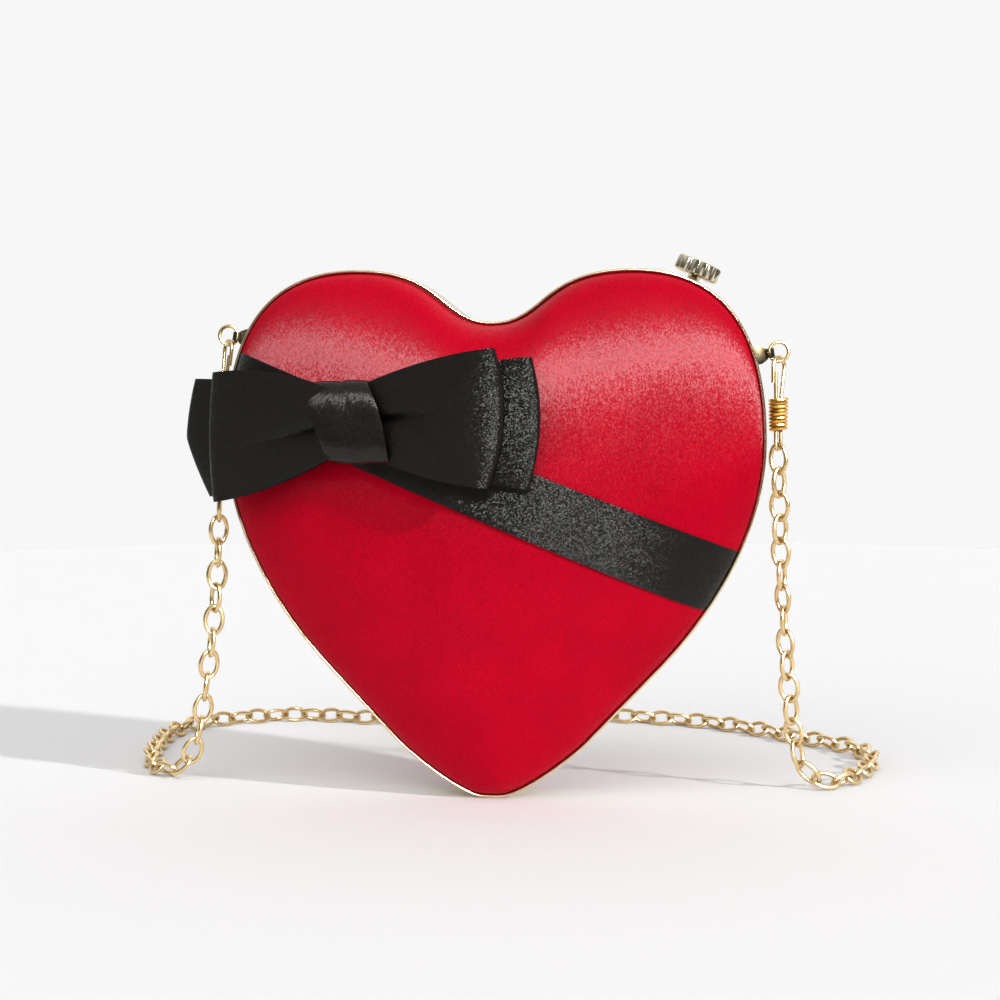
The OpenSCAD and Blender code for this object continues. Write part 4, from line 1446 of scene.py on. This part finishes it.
@dataclass
class Bow:
    """Double bow: a rear pair of loops, a front pair and a wrapped knot.

    The knot's left and right edges are given as their places at its top and its foot.
    """

    knot_centre_y: float = -30.9
    knot_mid_x: float = -36.8
    knot_tilt_deg: float = -11.0
    knot_half_y: float = 4.6
    knot_span: Point2 = (96.6, 119.4)
    knot_left: Point2 = (-51.0, -42.6)
    knot_right: Point2 = (-31.6, -25.1)
    knot_bulge: float = 1.7
    knot_powers: Point2 = (0.8, 0.72)
    knot_skew: float = 0.3
    knot_cloth: float = 0.5
    bulge_power: float = 0.8
    lap: float = 0.6
    lap_place: float = 0.24
    lap_slant: float = 0.25
    lap_w: float = 0.12
    lap_fade: float = 2.2
    lap_back: float = -0.2
    ripple: float = 0.2
    ripple_rate: float = 4.6
    ripple_start: float = 0.6
    ripple_shares: Point2 = (0.4, 1.0)
    rolled_edge: float = 0.55
    rolled_power: int = 7

    def loops(self) -> dict[str, list[BowLoop]]:
        """Give the loops of each layer.

        Returns:
            The left loop and the right one for the name of each layer's node.
        """
        return {
            "bow_rear_loops": [
                REAR_LOOP(((-44, 116), (-41, 99)), ((-84.9, 120.4), (-80.8, 86.8)), 4.6, (1.0, 1.0),
                          (-28.2, -12.5), seed=3.1, peak=1.3),
                REAR_LOOP(((-33, 117), (-29, 99)), ((13.7, 126.0), (12.9, 89.8)), 2.8, (1.5, 1.0),
                          (-28.6, -31.9), seed=7.7),
            ],
            "bow_front_loops": [
                FRONT_LOOP(((-43, 117.5), (-39, 100)), ((-77.6, 122.0), (-77.4, 85.5)), 1.0, (2.2, 2.0),
                           (-32.2, -21.0), crease_places=(0.45, 0.36), crease_share=0.8, seed=11.3),
                FRONT_LOOP(((-33.5, 118.2), (-29, 98)), ((4.3, 128.2), (2.7, 90.3)), 3.4, (1.6, 1.5),
                           (-32.4, -38.2), crease_places=(0.54, 0.57), crease_share=0.62, seed=17.9,
                           crease_w=0.1),
            ],
        }

    def knot_point(self, way: float, side: float) -> Vector:
        """Give a point of the knot's wrapped strip.

        Args:
            way: Share of the way round it.
            side: Share of the way across it.

        Returns:
            The point in space.
        """
        cos, sin = math.cos(2 * math.pi * way), math.sin(2 * math.pi * way)
        rise = signed_power(sin, self.knot_powers[0])
        y = -self.knot_half_y * signed_power(cos, self.knot_powers[1])
        z = between(self.knot_span, (1 + rise) / 2)
        down, across = (1 - rise) / 2, 2 * side - 1
        left = between(self.knot_left, down)
        bulge = self.knot_bulge * math.sin(math.pi * down**self.bulge_power)
        right = between(self.knot_right, down) + bulge
        x = between((left, right), side)
        step = min(1.0, max(0.0, (across - self.lap_place + self.lap_slant * down) / self.lap_w))
        lap = self.lap * step * step * (3 - 2 * step) * max(0.0, 1 - self.lap_fade * down)
        lap *= cos > self.lap_back
        soft = self.ripple * math.cos(across * self.ripple_rate + self.ripple_start)
        soft *= between(self.ripple_shares, abs(sin))
        out = soft + lap - self.rolled_edge * abs(across) ** self.rolled_power
        y, z, tilt = y - out * cos, z + out * sin, math.sin(math.radians(self.knot_tilt_deg))
        skewed = x - y * tilt * self.knot_skew
        return Vector((skewed, self.knot_centre_y + y + (x - self.knot_mid_x) * tilt, z))

    def build(self) -> None:
        """Build both layers of loops and the knot."""
        for node, loops in self.loops().items():
            sheets = [solid_sheet(sheeted(96, 72, loop.point), loop.cloth) for loop in loops]
            layer = Piece(node.replace("loops", "pair"), Body.LID, BLACK_RIBBON, (node,), CLOTH_SMOOTH)
            piece = layer.place(join_meshes(sheets))
        bm = sheeted(120, 60, self.knot_point)
        bmesh.ops.remove_doubles(bm, verts=bm.verts, dist=0.0005)
        bmesh.ops.recalc_face_normals(bm, faces=bm.faces)
        bmesh.ops.solidify(bm, geom=list(bm.faces), thickness=self.knot_cloth)
        bmesh.ops.recalc_face_normals(bm, faces=bm.faces)
        # The knot's ribbon is lightened to paint the light on it.
        knot = Piece("bow_wrap", Body.LID, BLACK_KNOT_PAINTED_LIGHT, ("bow_knot",), CLOTH_SMOOTH).place(bm)


# Camera, floor and light

RIBBONS = ("ribbon_over_lid", "bow_rear_pair", "bow_front_pair", "bow_wrap")
COVERS = ("front_satin_cover", "rear_satin_cover")
MOUNTS = (
    "front_rim", "rear_rim", "front_leaf", "rear_leaf", "left_strap_lug", "right_strap_lug", "push_knob",
)


@dataclass(frozen=True)
class Lamp:
    """A distant white light, by its place round from the front to the right and above the floor.

    A lamp that is kept off some pieces, as by a flag in a studio, shows only in gloss. The others never do.
    """

    name: str
    azimuth_deg: float
    elevation_deg: float
    power: float
    spread_deg: float
    kept_off: tuple[str, ...] = ()

    def build(self) -> None:
        """Add the light."""
        data = bpy.data.lights.new(self.name, "SUN")
        data.energy, data.angle = self.power, math.radians(self.spread_deg)
        turn, rise = math.radians(self.azimuth_deg), math.radians(self.elevation_deg)
        flat = math.cos(rise)
        towards = Vector((math.sin(turn) * flat, -math.cos(turn) * flat, math.sin(rise)))
        lamp = bpy.data.objects.new(self.name, data)
        lamp.rotation_euler = (-towards).to_track_quat("-Z", "Y").to_euler()
        bpy.context.scene.collection.objects.link(lamp)
        if not self.kept_off:
            lamp.visible_glossy = False
            return
        lamp.visible_diffuse = False
        data.cycles.max_bounces = 0
        flagged = bpy.data.collections.new(f"{self.name}_flag")
        for piece in self.kept_off:
            flagged.objects.link(bpy.data.objects[piece])
        for entry in flagged.collection_objects:
            entry.light_linking.link_state = "EXCLUDE"
        lamp.light_linking.receiver_collection = flagged


@dataclass
class Studio:
    """Camera at the photograph's place, a pale floor, a pale room and four lights.

    The sky tones are the brightness added overhead, then the brightness behind and in front.
    """

    azimuth_deg: float = 6.5
    pitch_deg: float = 2.22
    roll_deg: float = 0.15
    distance: float = 575.0
    height: float = 108.0
    aim_x: float = 1.49
    focal_px: float = 1983.0
    frame_px: float = 1000.0
    sensor: float = 36.0
    floor_r: float = 0.75
    floor_back: float = 0.5
    floor_tone: str = "#e6e6e6"
    backdrop: float = 0.93
    soft_sky: Point3 = (0.42, 0.5, 0.08)
    glossy_sky: Point3 = (0.6, 0.75, 0.1)
    sky_climb: Point2 = (0.15, 0.9)
    sky_turn: Point2 = (-0.1, 0.8)
    lamps: tuple[Lamp, ...] = (
        Lamp("low_key", 62.0, 25.0, 2.35, 2.5),
        Lamp("wide_fill", -12.0, 36.0, 2.08, 70.0),
        Lamp("key_glint", 43.0, 23.0, 37.0, 8.0, RIBBONS + MOUNTS),
        Lamp("front_glint", 8.0, 22.0, 3.2, 9.0, COVERS),
    )

    def camera(self) -> None:
        """Set up the camera from the fit to the heart's outline."""
        turn, pitch = math.radians(self.azimuth_deg), math.radians(self.pitch_deg)
        data = bpy.data.cameras.new("camera")
        data.sensor_width = self.sensor
        data.lens = self.sensor * self.focal_px / self.frame_px
        data.clip_start, data.clip_end = 0.01, 20.0
        camera = bpy.data.objects.new("camera", data)
        bpy.context.scene.collection.objects.link(camera)
        x, y = self.aim_x + math.sin(turn) * self.distance, -math.cos(turn) * self.distance
        aim = Matrix.Rotation(turn, 4, "Z") @ Matrix.Rotation(math.pi / 2 - pitch, 4, "X")
        roll = Matrix.Rotation(math.radians(self.roll_deg), 4, "Z")
        camera.matrix_world = Matrix.Translation(Vector((x, y, self.height)) * MM) @ aim @ roll
        bpy.context.scene.camera = camera

    def floor(self) -> None:
        """Add the pale round table top."""
        bm = bmesh.new()
        place = Matrix.Translation((0.0, self.floor_back, 0.0))
        bmesh.ops.create_circle(bm, cap_ends=True, segments=128, radius=self.floor_r, matrix=place)
        floor = stand("studio_floor", bm)
        matt = {"Base Color": to_linear(self.floor_tone), "Roughness": 1.0, "Specular IOR Level": 0.0}
        floor.data.materials.append(Surface("matte_paper_white").finish(matt))

    def room(self) -> None:
        """Surround the purse with a pale room, brighter above and behind than in front.

        The camera sees it as the same pale tone as the floor.
        """
        world = bpy.data.worlds.new("studio_room")
        bpy.context.scene.world = world
        world.use_nodes = True
        add = partial(add_node, world.node_tree)
        part = add("ShaderNodeSeparateXYZ", {0: add("ShaderNodeTexCoord", {}, "Generated")}).node.outputs
        ray = add("ShaderNodeLightPath", {}).node.outputs

        def slope(axis: str, ends: Point2, tones: Point2) -> Socket:
            """Add a brightness that changes from one tone to another between two places on an axis."""
            values = dict(zip(("From Min", "From Max", "To Min", "To Max"), (*ends, *tones)))
            return add("ShaderNodeMapRange", values | {"Value": part[axis]}, interpolation_type="SMOOTHSTEP")

        skies = []
        for overhead, behind, front in (self.soft_sky, self.glossy_sky):
            above = slope("Z", self.sky_climb, (0.0, overhead))
            skies.append(add("ShaderNodeMath", {0: above, 1: slope("Y", self.sky_turn, (front, behind))}))
        lit = add("ShaderNodeMix", {"Factor": ray["Is Glossy Ray"], "A": skies[0], "B": skies[1]})
        shown = add("ShaderNodeMix", {"Factor": ray["Is Camera Ray"], "A": lit, "B": self.backdrop})
        feed(world.node_tree.nodes["Background"], {"Strength": shown, "Color": (1.0, 1.0, 1.0, 1.0)})

    def build(self) -> None:
        """Add the floor, the room and the lights."""
        self.floor()
        self.room()
        bpy.context.scene.view_settings.view_transform = "Standard"
        for lamp in self.lamps:
            lamp.build()


def dress_hidden_nodes() -> None:
    """Give the nodes that stay their materials."""
    used = (SHELL_PLASTIC, PALE_GOLD, WIRE_GOLD, SPRING_GOLD, RED_SATIN, BLACK_RIBBON, LINING)
    finishes = {finish.slot: finish for finish in used}
    slots = {row["node"]: row["material_slot"] for row in frame["record"]["subparts"]}
    for name, node in frame["nodes"].items():
        if not node.hide_render:
            node.data.materials.clear()
            node.data.materials.append(material_of(finishes[slots[name]]))
            LOG.info("%s keeps its solid", name)


def write_sizes() -> None:
    """Bring the view layer up to date."""
    bpy.context.view_layer.update()


def main() -> None:
    """Build the camera, the strap and then the rest of the purse."""
    logging.basicConfig(level=logging.INFO, format="%(name)s: %(message)s")
    studio = Studio()
    studio.camera()
    ChainStrap().build()
    for end in (RIGHT_END, LEFT_END):
        end.build()
    for half in Half:
        ShellHalf(half).build()
        FrameHalf(half).build()
    HINGE.build()
    CLASP.build()
    RibbonBand().build()
    Bow().build()
    dress_hidden_nodes()
    studio.build()
    write_sizes()


if __name__ == "__main__":
    main()
